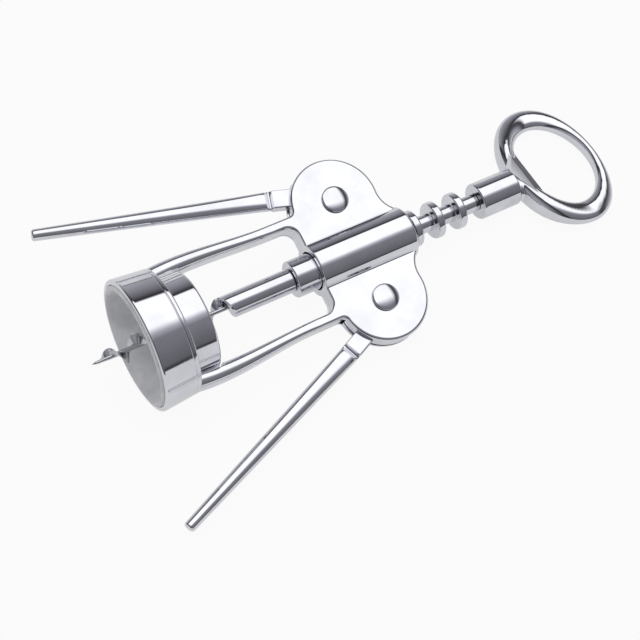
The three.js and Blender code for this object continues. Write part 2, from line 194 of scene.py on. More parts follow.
def superellipse(half_x: float, half_y: float, power: float, count: int) -> Profile:
    """Gives the points of a superellipse: power 2 is an ellipse, a higher one is squarer.

    Args:
        half_x: Half of its width.
        half_y: Half of its height.
        power: How square it is.
        count: Number of points.

    Returns:
        The points, anticlockwise.
    """
    out: Profile = []
    for i in range(count):
        c, s = math.cos(2 * math.pi * i / count), math.sin(2 * math.pi * i / count)
        x = half_x * math.copysign(abs(c) ** (2 / power), c)
        y = half_y * math.copysign(abs(s) ** (2 / power), s)
        out.append((x, y))
    return out


def arc(centre: tuple[float, float], radius: float, first: float, last: float, steps: int) -> Profile:
    """Gives the points of an arc, its angles in radians."""
    turns = [first + (last - first) * i / steps for i in range(steps + 1)]
    return [(centre[0] + radius * math.cos(turn), centre[1] + radius * math.sin(turn)) for turn in turns]


def rounded_bar(half_x: float, half_y: float, radius: float, steps: int = 10) -> Profile:
    """Returns the section of a bar with four rounded corners, anticlockwise.

    Args:
        half_x: Half of the bar's width.
        half_y: Half of the bar's height.
        radius: Radius of the corners.
        steps: Segments in each corner.

    Returns:
        The section's points.
    """
    points: Profile = []
    for i, (side_x, side_y) in enumerate(((1, 1), (-1, 1), (-1, -1), (1, -1))):
        centre = (side_x * (half_x - radius), side_y * (half_y - radius))
        points += arc(centre, radius, i * math.pi / 2, (i + 1) * math.pi / 2, steps)
    return points


@dataclass
class Solid:
    """A closed mesh in the making, in millimetres."""

    points: list[tuple[float, float, float]] = field(default_factory=list)
    faces: list[tuple[int, ...]] = field(default_factory=list)

    def moved(self, matrix: Matrix) -> "Solid":
        """Moves the mesh; a mirroring matrix also turns the faces round.

        Args:
            matrix: How it is moved.

        Returns:
            The moved copy.
        """
        points = [tuple(matrix @ Vector(p)) for p in self.points]
        flip = matrix.to_3x3().determinant() < 0
        faces = [tuple(reversed(f)) if flip else f for f in self.faces]
        return Solid(points, faces)


def skin(rings: list[Ring], closed: bool = False) -> Solid:
    """Skins rings of points that run anticlockwise about the way the chain runs.

    Args:
        rings: The rings, all with the same number of points.
        closed: True for a chain that ends where it starts, False for flat caps.

    Returns:
        The closed mesh.
    """
    count = len(rings[0])
    faces: list[tuple[int, ...]] = []
    for i in range(len(rings) if closed else len(rings) - 1):
        a, b = i * count, ((i + 1) % len(rings)) * count
        for j in range(count):
            k = (j + 1) % count
            faces.append((a + j, a + k, b + k, b + j))
    if not closed:
        end = (len(rings) - 1) * count
        faces.append(tuple(reversed(range(count))))
        faces.append(tuple(end + j for j in range(count)))
    return Solid([p for ring in rings for p in ring], faces)


def lathe(profile: Profile, facets: Facets = Facets.RING) -> Solid:
    """Turns a closed profile of (station, radius) points about the X axis.

    Args:
        profile: Points in order; those on the axis become poles.
        facets: How finely the piece is divided.

    Returns:
        The closed mesh, with its faces pointing out.
    """
    count = facets.value
    solid = Solid()
    rows: list[list[int]] = []
    for station, radius in profile:
        first = len(solid.points)
        if radius < 1e-6:
            solid.points.append((station, 0.0, 0.0))
            rows.append([first] * count)
            continue
        for j in range(count):
            turn = 2 * math.pi * j / count
            solid.points.append((station, radius * math.cos(turn), radius * math.sin(turn)))
        rows.append(list(range(first, first + count)))
    area = sum(
        a[0] * b[1] - b[0] * a[1] for a, b in zip(profile, profile[1:] + profile[:1])
    )
    for low, high in zip(rows, rows[1:] + rows[:1]):
        for j in range(count):
            k = (j + 1) % count
            loop = [low[j], high[j], high[k], low[k]]
            face = [v for n, v in enumerate(loop) if v != loop[n - 1]]
            if len(face) > 2:
                solid.faces.append(tuple(face) if area > 0 else tuple(reversed(face)))
    return solid


def extrude(
    outline: Profile,
    low: float,
    high: float,
    round_by: float,
    steps: int = 4,
    round_low: float | None = None,
    square_points: int = 0,
) -> Solid:
    """Extrudes an anticlockwise outline along Z, with both rims rounded inwards.

    Args:
        outline: The outline at the plate's widest, anticlockwise.
        low: Height of the underside.
        high: Height of the top.
        round_by: Radius of the rims.
        steps: Segments in each rounded rim.
        round_low: Radius of the lower rim, where it differs.
        square_points: How many of the first points keep a square rim, where another form hides it.

    Returns:
        The closed plate.
    """
    core = np.array(outline, float)
    before, after = core - np.roll(core, 1, 0), np.roll(core, -1, 0) - core
    before /= np.linalg.norm(before, axis=1)[:, None]
    after /= np.linalg.norm(after, axis=1)[:, None]
    out_before = np.stack([before[:, 1], -before[:, 0]], 1)
    out_after = np.stack([after[:, 1], -after[:, 0]], 1)
    normal = out_before + out_after
    normal /= (1 + (out_before * out_after).sum(1))[:, None]
    normal[:square_points] = 0
    rings: list[Ring] = []
    lower = round_by if round_low is None else round_low
    for level, sign, radius in ((low, -1, lower), (high, 1, round_by)):
        count = steps if radius else 0
        for i in range(count + 1):
            share = i / max(count, 1)
            turn = math.pi / 2 * (share if sign > 0 else 1 - share)
            inset = radius * (1 - math.cos(turn))
            height = level - sign * radius * (1 - math.sin(turn))
            rings.append([(x, y, height) for x, y in core - normal * inset])
    return skin(rings)


def disc(centre: tuple[float, float], radius: float, half_height: float, facets: Facets) -> Solid:
    """Makes a plain disc that lies across Z, with square rims.

    Args:
        centre: The disc's centre.
        radius: Its radius.
        half_height: How far it reaches up and down.
        facets: How finely it is divided.

    Returns:
        The closed mesh.
    """
    outline = arc(centre, radius, 0, 2 * math.pi, facets.value)[:-1]
    return extrude(outline, -half_height, half_height, 0.0, steps=1)


class ToolFrame:
    """The tool's own frame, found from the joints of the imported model."""

    def __init__(self, frame: dict, pivot_station: float) -> None:
        """Finds the frame.

        Args:
            pivot_station: Distance of the pivots from the bell's mouth, in millimetres.
        """
        joints = {joint["name"]: joint for joint in frame["joints"]}
        along = Vector(joints["rack_slide"]["axis"]).normalized()
        front = Vector(joints["left_lever_pivot"]["axis"]).normalized()
        left = front.cross(along).normalized()
        front = along.cross(left)
        pivots = [Vector(joints[f"{side}_lever_pivot"]["pos_m"]) for side in ("left", "right")]
        origin = (pivots[0] + pivots[1]) / 2 - along * pivot_station * MM
        turn = Matrix((along, left, front)).transposed().to_4x4()
        self.matrix = Matrix.Translation(origin) @ turn @ Matrix.Scale(MM, 4)


# Finishes


def new_material(name: str) -> tuple[bpy.types.Material, bpy.types.NodeTree]:
    """Makes a material with an empty node tree.

    Args:
        name: What the material is called.

    Returns:
        The material and its tree.
    """
    material = bpy.data.materials.new(name)
    material.use_nodes = True
    material.node_tree.nodes.clear()
    return material, material.node_tree


def haze_nodes(
    tree: bpy.types.NodeTree, patch_mm: float, low: float, high: float, tints: tuple[str, str]
) -> tuple[bpy.types.NodeSocket, bpy.types.NodeSocket]:
    """Adds faint, uneven patches: haze that handling leaves on plate, or clouds in plastic.

    Args:
        tree: The material's tree.
        patch_mm: Size of a patch.
        low: Roughness of the clean surface.
        high: Roughness where a patch is thickest.
        tints: Colours of the clean surface and of a patch, in sRGB hex.

    Returns:
        The output sockets of the colour and of the roughness.
    """
    haze_starts, haze_full = 0.42, 0.7
    tint_stops = (0.35, 0.72)
    place = add_node(tree, "ShaderNodeTexCoord").outputs["Object"]
    patch = add_node(
        tree,
        "ShaderNodeTexNoise",
        {"Vector": place, "Scale": 1 / (patch_mm * MM), "Detail": 4.0, "Roughness": 0.6},
    ).outputs["Fac"]
    rough = add_node(
        tree,
        "ShaderNodeMapRange",
        {"Value": patch, "From Min": haze_starts, "From Max": haze_full, "To Min": low, "To Max": high},
    )
    colour = add_node(tree, "ShaderNodeValToRGB", {"Fac": patch})
    for element, tint, position in zip(colour.color_ramp.elements, tints, tint_stops):
        element.position = position
        element.color = linear_colour(tint)
    return colour.outputs["Color"], rough.outputs["Result"]


def relief_nodes(
    tree: bpy.types.NodeTree, size_mm: float, depth_mm: float, detail: float, axis: Vector | None = None
) -> tuple[bpy.types.NodeSocket, bpy.types.NodeSocket]:
    """Adds a fine relief: grain the same every way, or marks that run round an axis.

    Args:
        tree: The material's tree.
        size_mm: Width of one grain or mark.
        depth_mm: Its depth.
        detail: How many finer layers it has.
        axis: The axis that marks run round, or None for grain.

    Returns:
        The output sockets of the relief's height and of the bent normal.
    """
    place = add_node(tree, "ShaderNodeTexCoord").outputs["Object"]
    looks: dict[str, object] = {"Scale": 1 / (size_mm * MM), "Detail": detail}
    if axis is None:
        noise = add_node(tree, "ShaderNodeTexNoise", {"Vector": place, **looks})
    else:
        along = add_node(
            tree, "ShaderNodeVectorMath", {0: place, 1: tuple(axis)}, operation="DOT_PRODUCT"
        )
        noise = add_node(
            tree, "ShaderNodeTexNoise", {"W": along.outputs["Value"], **looks}, noise_dimensions="1D"
        )
    height = noise.outputs["Fac"]
    bump = add_node(
        tree, "ShaderNodeBump", {"Height": height, "Distance": depth_mm * MM, "Strength": 1.0}
    )
    return height, bump.outputs["Normal"]


@dataclass(frozen=True)
class CastChrome:
    """Bright chrome plate on a polished zinc die casting.

    It mirrors the studio almost without blur. Haze from handling varies its roughness, and a shallow
    orange peel of the metal below bends the long highlights a little. Where a finish has an axis, its
    relief is not peel but the tool's marks round that axis.
    """

    name: str = "chrome_plate_on_zinc_casting"
    tint: str = "#E2E3E8"
    haze_tint: str = "#D6D7DD"
    roughness: float = 0.03
    haze: float = 0.06
    haze_mm: float = 9.0
    relief_mm: float = 2.4
    relief_depth_mm: float = 0.001
    relief_detail: float = 1.0
    axis: Vector | None = None

    def material(self) -> bpy.types.Material:
        """Builds the plate's shader.

        Returns:
            The material.
        """
        material, tree = new_material(self.name)
        colour, rough = haze_nodes(
            tree, self.haze_mm, self.roughness, self.roughness + self.haze, (self.tint, self.haze_tint)
        )
        _, normal = relief_nodes(
            tree, self.relief_mm, self.relief_depth_mm, self.relief_detail, self.axis
        )
        shader = add_node(
            tree,
            "ShaderNodeBsdfPrincipled",
            {"Base Color": colour, "Metallic": 1.0, "Roughness": rough, "Normal": normal},
        )
        add_node(tree, "ShaderNodeOutputMaterial", {"Surface": shader.outputs["BSDF"]})
        return material


@dataclass(frozen=True)
class PressedChrome(CastChrome):
    """Bright chrome plate on pressed steel: the same mirror, with smaller patches of haze."""

    name: str = "chrome_plate_on_pressed_steel"
    haze_mm: float = 6.0


@dataclass(frozen=True)
class TurnedChrome(CastChrome):
    """Bright chrome plate on turned steel.

    The tool marks left by the lathe run round the piece. Real ones are about 0.1 mm apart; they are drawn
    at 0.45 mm so that they show as a faint grain across the highlights.
    """

    name: str = "chrome_plate_on_turned_steel"
    tint: str = "#E0E1E6"
    haze_tint: str = "#D3D4DA"
    roughness: float = 0.035
    haze: float = 0.05
    haze_mm: float = 6.0
    relief_mm: float = 0.45
    relief_depth_mm: float = 0.0006
    relief_detail: float = 3.0


@dataclass(frozen=True)
class WormSteel(TurnedChrome):
    """Hardened steel under a thin bright plate: darker and duller, with coarse grinding marks round it."""

    name: str = "bright_plated_hardened_steel"
    tint: str = "#C9CACE"
    haze_tint: str = "#B4B5BA"
    roughness: float = 0.08
    haze: float = 0.10
    haze_mm: float = 4.0
    relief_mm: float = 0.6
    relief_depth_mm: float = 0.002


@dataclass(frozen=True)
class FrostedPlastic:
    """Moulded polyethylene with a spark-eroded finish.

    Light scatters softly through its thin wall, and a faint emission adds a painted glow that brightens the
    liner where it lies in shade inside the bell. Its fine grain breaks every reflection up into a sheen.
    """

    name: str = "frosted_moulded_polyethylene"
    tint: str = "#CFD0D2"
    pale_tint: str = "#ECEDEE"
    roughness: float = 0.42
    roughness_swing: float = 0.06
    cloud_mm: float = 7.0
    grain_mm: float = 0.35
    grain_depth_mm: float = 0.02
    grain_detail: float = 2.0
    glow: float = 0.25
    glow_mm: float = 2.0
    # Strength of the painted glow: an emission, no lamp, that brightens the whole liner and lifts its shaded
    # inside.
    painted_glow: float = 0.13

    def material(self) -> bpy.types.Material:
        """Builds the plastic's shader.

        Returns:
            The material.
        """
        material, tree = new_material(self.name)
        colour, _ = haze_nodes(
            tree, self.cloud_mm, self.roughness, self.roughness, (self.tint, self.pale_tint)
        )
        grain, normal = relief_nodes(tree, self.grain_mm, self.grain_depth_mm, self.grain_detail)
        low, high = self.roughness - self.roughness_swing, self.roughness + self.roughness_swing
        rough = add_node(tree, "ShaderNodeMapRange", {"Value": grain, "To Min": low, "To Max": high})
        shader = add_node(
            tree,
            "ShaderNodeBsdfPrincipled",
            {
                "Base Color": colour,
                "Roughness": rough.outputs["Result"],
                "IOR": 1.51,
                "Subsurface Weight": self.glow,
                "Subsurface Radius": (1.0, 1.0, 1.0),
                "Subsurface Scale": self.glow_mm * MM,
                # The emission is painted light, a faint glow on the whole liner that stands in for the light
                # missing in the bell's shaded inside. The subsurface scatter above is the plastic's own.
                "Emission Color": colour,
                "Emission Strength": self.painted_glow,
                "Normal": normal,
            },
        )
        add_node(tree, "ShaderNodeOutputMaterial", {"Surface": shader.outputs["BSDF"]})
        return material


@dataclass(frozen=True)
class Finishes:
    """One material for each slot of the record."""

    by_slot: dict[Slot, bpy.types.Material]

    @classmethod
    def of(cls, axis: Vector) -> "Finishes":
        """Builds every material.

        Args:
            axis: The tool's axis, which the turned pieces' marks run round.

        Returns:
            The materials by slot.
        """
        finishes = {
            Slot.CASTING: CastChrome(),
            Slot.PRESSING: PressedChrome(),
            Slot.TURNING: TurnedChrome(axis=axis),
            Slot.WORM: WormSteel(axis=axis),
            Slot.LINER: FrostedPlastic(),
        }
        return cls({slot: finish.material() for slot, finish in finishes.items()})


# Pieces


class Piece:
    """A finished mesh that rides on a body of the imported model."""

    def __init__(self, name: str, solid: Solid, place: Matrix, sharp_deg: float = 32.0) -> None:
        """Makes the object.

        Args:
            name: The piece's name.
            solid: Its mesh in millimetres.
            place: Matrix from the mesh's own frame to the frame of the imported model.
            sharp_deg: Edges that turn by more than this stay sharp.
        """
        moved = solid.moved(place)
        mesh = bpy.data.meshes.new(name)
        mesh.from_pydata(moved.points, [], moved.faces)
        self.sharp = math.radians(sharp_deg)
        self.object = bpy.data.objects.new(name, mesh)
        bpy.context.scene.collection.objects.link(self.object)
        self.smooth()

    def smooth(self) -> None:
        """Shades the mesh smooth up to the piece's sharp angle."""
        mesh = self.object.data
        mesh.update()
        mesh.shade_smooth()
        mesh.set_sharp_from_angle(angle=self.sharp)

    def turn_outward(self) -> None:
        """Points every face of the closed mesh outwards."""
        work = bmesh.new()
        work.from_mesh(self.object.data)
        bmesh.ops.recalc_face_normals(work, faces=work.faces)
        work.to_mesh(self.object.data)
        work.free()

    def settle(self) -> None:
        """Turns the object with its modifiers into a plain mesh without them."""
        bpy.context.view_layer.update()
        depsgraph = bpy.context.evaluated_depsgraph_get()
        result = bpy.data.meshes.new_from_object(self.object.evaluated_get(depsgraph))
        self.object.modifiers.clear()
        old = self.object.data
        self.object.data = result
        name = old.name
        bpy.data.meshes.remove(old)
        result.name = name
        self.smooth()

    def take(self, others: list["Piece"], work: Work) -> "Piece":
        """Cuts other meshes out of this one, or joins them to it, and deletes them.

        Args:
            others: The meshes.
            work: Whether they are cut out or joined.

        Returns:
            This piece.
        """
        for other in others:
            modifier = self.object.modifiers.new(work.name, "BOOLEAN")
            modifier.operation = work.value
            modifier.solver = "EXACT"
            modifier.object = other.object
        self.settle()
        for other in others:
            mesh = other.object.data
            bpy.data.objects.remove(other.object)
            bpy.data.meshes.remove(mesh)
        return self

    def weigh_normals(self) -> "Piece":
        """Keeps flat faces flat to their edges: large faces lead the shading of the small ones.

        Returns:
            This piece.
        """
        modifier = self.object.modifiers.new("weighted_normals", "WEIGHTED_NORMAL")
        modifier.keep_sharp = True
        return self

    def dress(self, finishes: Finishes, slot: Slot, body: str, nodes: list[str]) -> "Piece":
        """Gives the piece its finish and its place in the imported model.

        Args:
            finishes: The materials.
            slot: The record's slot.
            body: The body it rides on.
            nodes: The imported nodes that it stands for.

        Returns:
            This piece.
        """
        self.object.data.materials.clear()
        self.object.data.materials.append(finishes.by_slot[slot])
        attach(self.object, body)
        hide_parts(*nodes)
        LOG.info("%s rides on %s: %d faces", self.object.name, body, len(self.object.data.polygons))
        return self


class PieceTree:
    """A Geometry Nodes tree with named inputs, whose result is real geometry with a material."""

    def __init__(self, name: str, kinds: dict[str, str]) -> None:
        """Starts the tree.

        Args:
            name: The tree's name.
            kinds: Kinds of its inputs, by name, besides the geometry and the material.
        """
        self.tree = bpy.data.node_groups.new(name, "GeometryNodeTree")
        self.inputs: dict[str, str] = {}
        sockets = self.tree.interface
        for title, kind in {"Geometry": "Geometry", **kinds, "Material": "Material"}.items():
            socket = sockets.new_socket(title, in_out="INPUT", socket_type=f"NodeSocket{kind}")
            self.inputs[title] = socket.identifier
        sockets.new_socket("Geometry", in_out="OUTPUT", socket_type="NodeSocketGeometry")
        self.entry = add_node(self.tree, "NodeGroupInput").outputs

    def close(self, geometry: bpy.types.NodeSocket) -> None:
        """Ends the tree: makes what it is given real and dresses it.

        Args:
            geometry: Output socket of what the tree makes.
        """
        real = add_node(self.tree, "GeometryNodeRealizeInstances", {"Geometry": geometry})
        dressed = add_node(
            self.tree,
            "GeometryNodeSetMaterial",
            {"Geometry": real.outputs["Geometry"], "Material": self.entry["Material"]},
        )
        add_node(self.tree, "NodeGroupOutput", {"Geometry": dressed.outputs["Geometry"]})

    def run(self, piece: Piece, values: dict[str, object]) -> None:
        """Replaces a piece's mesh by what the tree makes of it.

        Args:
            piece: The piece.
            values: The tree's inputs, by name.
        """
        modifier = piece.object.modifiers.new(self.tree.name, "NODES")
        modifier.node_group = self.tree
        for name, value in values.items():
            modifier[self.inputs[name]] = value
        piece.settle()


class RowOfCopies(PieceTree):
    """Geometry Nodes that set copies of a mesh in a straight row."""

    def __init__(self) -> None:
        """Builds the tree once for every row."""
        super().__init__("row_of_copies", {"Count": "Int", "Start": "Vector", "Step": "Vector"})
        entry = self.entry
        line = add_node(
            self.tree,
            "GeometryNodeMeshLine",
            {"Count": entry["Count"], "Start Location": entry["Start"], "Offset": entry["Step"]},
            mode="OFFSET",
        )
        copies = add_node(
            self.tree,
            "GeometryNodeInstanceOnPoints",
            {"Points": line.outputs["Mesh"], "Instance": entry["Geometry"]},
        )
        self.close(copies.outputs["Instances"])


class SpiralFlight(PieceTree):
    """Geometry Nodes that wind a worm's flight: a tapered blade swept along a helix round Z."""

    def __init__(self) -> None:
        """Builds the tree."""
        sizes = ["Turns", "Length", "Foot Radius", "Blade Height"]
        sizes += ["Foot Width", "Crest Width", "Edge", "Growth"]
        super().__init__("spiral_flight", {**{size: "Float" for size in sizes}, "Steps": "Int"})
        entry = self.entry
        helix = add_node(
            self.tree,
            "GeometryNodeCurveSpiral",
            {
                "Resolution": entry["Steps"],
                "Rotations": entry["Turns"],
                "Start Radius": entry["Foot Radius"],
                "End Radius": entry["Foot Radius"],
                "Height": entry["Length"],
                "Reverse": True,
            },
        )
        upright = add_node(
            self.tree, "GeometryNodeSetCurveNormal", {"Curve": helix.outputs["Curve"]}, mode="Z_UP"
        )
        swept = add_node(
            self.tree,
            "GeometryNodeCurveToMesh",
            {
                "Curve": upright.outputs["Curve"],
                "Profile Curve": self.blade(),
                "Scale": self.growth(),
                "Fill Caps": True,
            },
        )
        self.close(swept.outputs["Mesh"])

    def blade(self) -> bpy.types.NodeSocket:
        """Adds the blade's section, which tapers from its foot to its crest and has eased corners.

        Returns:
            The output socket of the section's curve.
        """
        tree, entry = self.tree, self.entry
        corners: dict[str, bpy.types.NodeSocket] = {}
        places = (
            (None, "Foot Width", -0.5),
            ("Blade Height", "Crest Width", -0.5),
            ("Blade Height", "Crest Width", 0.5),
            (None, "Foot Width", 0.5),
        )
        for i, (height, width, side) in enumerate(places):
            across = add_node(tree, "ShaderNodeMath", {0: entry[width], 1: side}, operation="MULTIPLY")
            point = add_node(tree, "ShaderNodeCombineXYZ", {"Y": across.outputs[0]})
            if height:
                tree.links.new(entry[height], point.inputs["X"])
            corners[f"Point {i + 1}"] = point.outputs["Vector"]
        outline = add_node(tree, "GeometryNodeCurvePrimitiveQuadrilateral", corners, mode="POINTS")
        eased = add_node(
            tree,
            "GeometryNodeFilletCurve",
            {"Curve": outline.outputs["Curve"], "Radius": entry["Edge"], "Count": 3},
            mode="POLY",
        )
        return eased.outputs["Curve"]

    def growth(self) -> bpy.types.NodeSocket:
        """Adds the blade's growth with the root of the way from the point, where it never quite vanishes.

        Returns:
            The output socket of the blade's scale.
        """
        tree, entry, least = self.tree, self.entry, 0.0004
        along = add_node(tree, "GeometryNodeSplineParameter").outputs["Factor"]
        way = add_node(tree, "ShaderNodeMath", {0: along, 1: entry["Length"]}, operation="MULTIPLY")
        share = add_node(tree, "ShaderNodeMath", {0: way.outputs[0], 1: entry["Growth"]}, operation="DIVIDE")
        held = add_node(tree, "ShaderNodeClamp", {"Value": share.outputs[0], "Min": least, "Max": 1.0})
        return add_node(tree, "ShaderNodeMath", {0: held.outputs["Result"]}, operation="SQRT").outputs[0]


# Sub-assemblies, with sizes in millimetres


@dataclass
class Workshop:
    """What every sub-assembly needs to make its pieces."""

    tool: ToolFrame
    finishes: Finishes
    rows: RowOfCopies
    flights: SpiralFlight

    def lay_row(
        self, piece: Piece, count: int, start: tuple[float, ...], step: tuple[float, ...]
    ) -> None:
        """Replaces a turned piece by a row of copies of it, laid in the tool's frame.

        Args:
            piece: The piece, modelled round the origin.
            count: Number of copies.
            start: Place of the first copy.
            step: Way from one copy to the next.
        """
        finish = self.finishes.by_slot[Slot.TURNING]
        self.rows.run(piece, {"Count": count, "Start": start, "Step": step, "Material": finish})
        piece.object.data.transform(self.tool.matrix)
        piece.smooth()
        piece.weigh_normals()


@dataclass
class BottleEnd:
    """The small ring over the bell, and the liner inside it."""

    bell_height: float = 11.3
    bell_shoulder: float = 1.6
    mouth_radius: float = 19.95
    shoulder_radius: float = 18.95
    bell_wall: float = 1.5
    seat_gap: float = 0.15
    run_gap: float = 0.3
    cup_radius: float = 15.1
    cup_rise: float = 8.2
    cup_wall: float = 1.2
    cup_edge: float = 0.8
    liner_wall: float = 1.7
    liner_top_wall: float = 2.3
    liner_lip: float = 0.5

    def cup(self) -> Solid:
        """Pressed ring with a flange under the bell's shoulder.

        Returns:
            The closed mesh.
        """
        seat = self.bell_height - self.bell_shoulder - self.seat_gap
        top = self.bell_height + self.cup_rise
        flange = self.shoulder_radius - self.bell_wall - self.run_gap
        inner = self.cup_radius - self.cup_wall
        outline = [
            (seat - self.cup_wall, inner),
            (seat - self.cup_wall, flange),
            (seat, flange),
            (seat, self.cup_radius),
            (top, self.cup_radius),
            (top, inner),
        ]
        edge = self.cup_edge
        return lathe(rounded(outline, [edge / 2, edge / 4, edge / 4, 0.0, edge, edge / 2], steps=7))

    def liner(self) -> Solid:
        """Soft sleeve with a rolled lip that stands just out of the bell.

        Returns:
            The closed mesh.
        """
        top = self.bell_height - self.bell_shoulder - self.seat_gap - self.cup_wall - self.seat_gap
        slope = (self.mouth_radius - self.shoulder_radius) / (self.bell_height - self.bell_shoulder)
        outer = self.mouth_radius - self.bell_wall - self.seat_gap
        lip = self.liner_lip
        outline = [
            (-lip, outer - self.liner_wall + lip),
            (-lip, outer - lip),
            (0.0, outer),
            (top, outer - slope * top),
            (top, outer - slope * top - self.liner_top_wall),
            (lip, outer - self.liner_wall),
        ]
        return lathe(rounded(outline, [lip / 2, lip / 2, lip / 2, lip, lip, lip]))

    def build(self, shop: Workshop) -> list[Piece]:
        """Builds and dresses the pieces.

        Args:
            shop: The tool's frame, the finishes and the node trees.

        Returns:
            The small ring and the liner.
        """
        cup = Piece("small_ring", self.cup(), shop.tool.matrix).weigh_normals()
        liner = Piece("bell_liner", self.liner(), shop.tool.matrix).weigh_normals()
        return [
            cup.dress(shop.finishes, Slot.PRESSING, "frame", ["bottle_cup"]),
            liner.dress(shop.finishes, Slot.LINER, "frame", ["cup_liner"]),
        ]


@dataclass
class Frame:
    """The casting: bell, rails, cheeks with ears, and barrel; and the rivets through it."""

    thickness: float = 7.4
    cheek: float = 1.7
    cheek_edge: float = 0.5
    cheek_rim: float = 0.95
    wall: float = 1.3
    window_end: float = 57.8
    window_half_width: float = 13.9
    window_corner: float = 3.4
    rail_outer: float = 17.0
    rail_root_length: float = 7.2
    rail_half_width: float = 2.65
    rail_bow: float = 2.0
    rail_round: float = 0.96
    rail_cover: float = 0.015
    rail_overlap: float = 1.1
    rail_foot: float = 16.1
    relief: float = 0.7
    ear_radius: float = 13.7
    ear_inset: float = 0.6
    ear_fillet: float = 1.6
    neck_radius: float = 8.0
    neck_angle: float = math.radians(-6)
    barrel_radius: float = 8.1
    barrel_lip: float = 0.2
    barrel_reach: float = 17.1
    barrel_edge: float = 0.8
    barrel_bore: float = 6.0
    pivot_setback: float = 15.1
    pivot_offset: float = 16.4
    slot_radius: float = 13.4
    rivet_radius: float = 2.6
    head_radius: float = 4.11
    head_square: float = 2.0
    head_height: float = 1.25
    head_rim: float = 0.4
    bell_edge: float = 0.75
    bead: float = 1.1
    bead_edge: float = 0.5
    bead_groove: float = 0.55
    groove_depth: float = 0.2
    end: BottleEnd = field(default_factory=BottleEnd)

    @property
    def pivot_station(self) -> float:
        """Distance of the pivots from the bell's mouth."""
        return self.window_end + self.pivot_setback

    def bell(self) -> Solid:
        """Thin ring with a shoulder, open for the small ring, and a fine bead round its rear edge.

        Returns:
            The closed mesh.
        """
        end = self.end
        hole = end.cup_radius + end.run_gap
        under = end.bell_height - end.bell_shoulder
        slope = (end.mouth_radius - end.shoulder_radius) / end.bell_height
        bead_start = end.bell_height - self.bead
        groove = bead_start - self.bead_groove / 2
        groove_start = bead_start - self.bead_groove
        outline = [
            (0.0, end.mouth_radius - end.bell_wall),
            (0.0, end.mouth_radius),
            (groove_start, end.mouth_radius - slope * groove_start),
            (groove, end.mouth_radius - slope * groove - self.groove_depth),
            (bead_start, end.mouth_radius - slope * bead_start),
            (end.bell_height, end.shoulder_radius),
            (end.bell_height, hole),
            (under, hole),
            (under, end.shoulder_radius - end.bell_wall),
        ]
        edge = self.cheek_edge / 2
        turn = self.groove_depth
        rounds = [edge, self.bell_edge, turn, turn, turn, self.bead_edge, edge, edge, 0.0]
        return lathe(rounded(outline, rounds, steps=7))

    def cheek_outline(self) -> Profile:
        """Outline of one cheek on the +Y side, anticlockwise, from the barrel's wall out to its ear.

        Returns:
            The outline's points.
        """
        inner = self.barrel_bore + self.cheek_edge
        ear = self.pivot_offset - self.ear_inset
        root = self.window_end - self.rail_root_length
        corner = self.window_corner
        rise = self.rail_outer + self.ear_fillet - ear
        reach = math.sqrt((self.ear_radius + self.ear_fillet) ** 2 - rise**2)
        fillet_angle = math.atan2(-rise, reach)
        fillet = (self.pivot_station - reach, self.rail_outer + self.ear_fillet)
        swing = self.ear_radius + self.neck_radius
        neck = (
            self.pivot_station + swing * math.cos(self.neck_angle),
            ear + swing * math.sin(self.neck_angle),
        )
        chord = math.sqrt(self.barrel_radius**2 - (self.thickness / 2) ** 2)
        neck_end = math.pi + math.asin((neck[1] - chord) / self.neck_radius)
        points = [(self.window_end, inner)]
        points += arc(
            (self.window_end - corner, self.window_half_width - corner), corner, 0, math.pi / 2, 12
        )
        points += [(root, self.window_half_width), (root, self.rail_outer)]
        points += arc(fillet, self.ear_fillet, -math.pi / 2, fillet_angle, 10)
        points += arc(
            (self.pivot_station, ear), self.ear_radius, math.pi + fillet_angle, self.neck_angle, 72
        )[1:]
        points += arc(neck, self.neck_radius, math.pi + self.neck_angle, neck_end, 20)[1:]
        points.append((points[-1][0], inner))
        return list(reversed(points))

    def rail(self) -> Solid:
        """One rail on the +Y side: an oval bar that narrows and squares until it covers its root's end.

        Returns:
            The closed mesh.
        """
        root = self.window_end - self.rail_root_length
        root_offset = (self.window_half_width + self.rail_outer) / 2
        foot = self.end.bell_height - self.end.bell_shoulder / 2
        reach = (root - foot) / 3
        controls = np.array(
            [
                (foot, self.rail_foot),
                (foot + reach, self.rail_foot + self.rail_bow),
                (root - reach, root_offset),
                (root, root_offset),
            ]
        )
        root_half = (self.rail_outer - self.window_half_width) / 2 + self.rail_cover
        steps = 40
        stops: list[tuple[float, np.ndarray, np.ndarray]] = []
        for i in range(steps + 1):
            t = i / steps
            shares = ((1 - t) ** 3, 3 * t * (1 - t) ** 2, 3 * t * t * (1 - t), t**3)
            slopes = ((1 - t) ** 2, 2 * t * (1 - t), t * t)
            point = sum(share * control for share, control in zip(shares, controls))
            way = sum(slope * step for slope, step in zip(slopes, np.diff(controls, axis=0)))
            stops.append((t, point, way / np.linalg.norm(way)))
        stops.append((1.0, controls[-1] + (self.rail_overlap, 0.0), np.array((1.0, 0.0))))
        rings: list[Ring] = []
        for t, point, way in stops:
            eased = t * t * (3 - 2 * t)
            half = between(self.rail_half_width, root_half, eased)
            squared = t**4
            corner = self.rail_round * half * (1 - squared) + self.cheek_rim * squared
            across = np.array((-way[1], way[0]))
            section = rounded_bar(half, self.thickness / 2 + self.rail_cover * eased, corner)
            rings.append([(*(point + across * x), z) for x, z in section])
        return skin(rings)

    def rail_root(self) -> Solid:
        """The flat bar by which a rail runs in between the cheeks.

        Returns:
            The closed mesh.
        """
        sunk = 2 * self.rail_cover
        root = self.window_end - self.rail_root_length + self.rail_overlap / 3
        low, high = self.window_half_width + sunk, self.rail_outer - sunk
        end = self.pivot_station - self.slot_radius - self.cheek / 2
        half = self.thickness / 2 - sunk
        outline = [(root, low), (end, low), (end, high), (root, high)]
        return extrude(outline, -half, half, self.cheek_rim, steps=6)

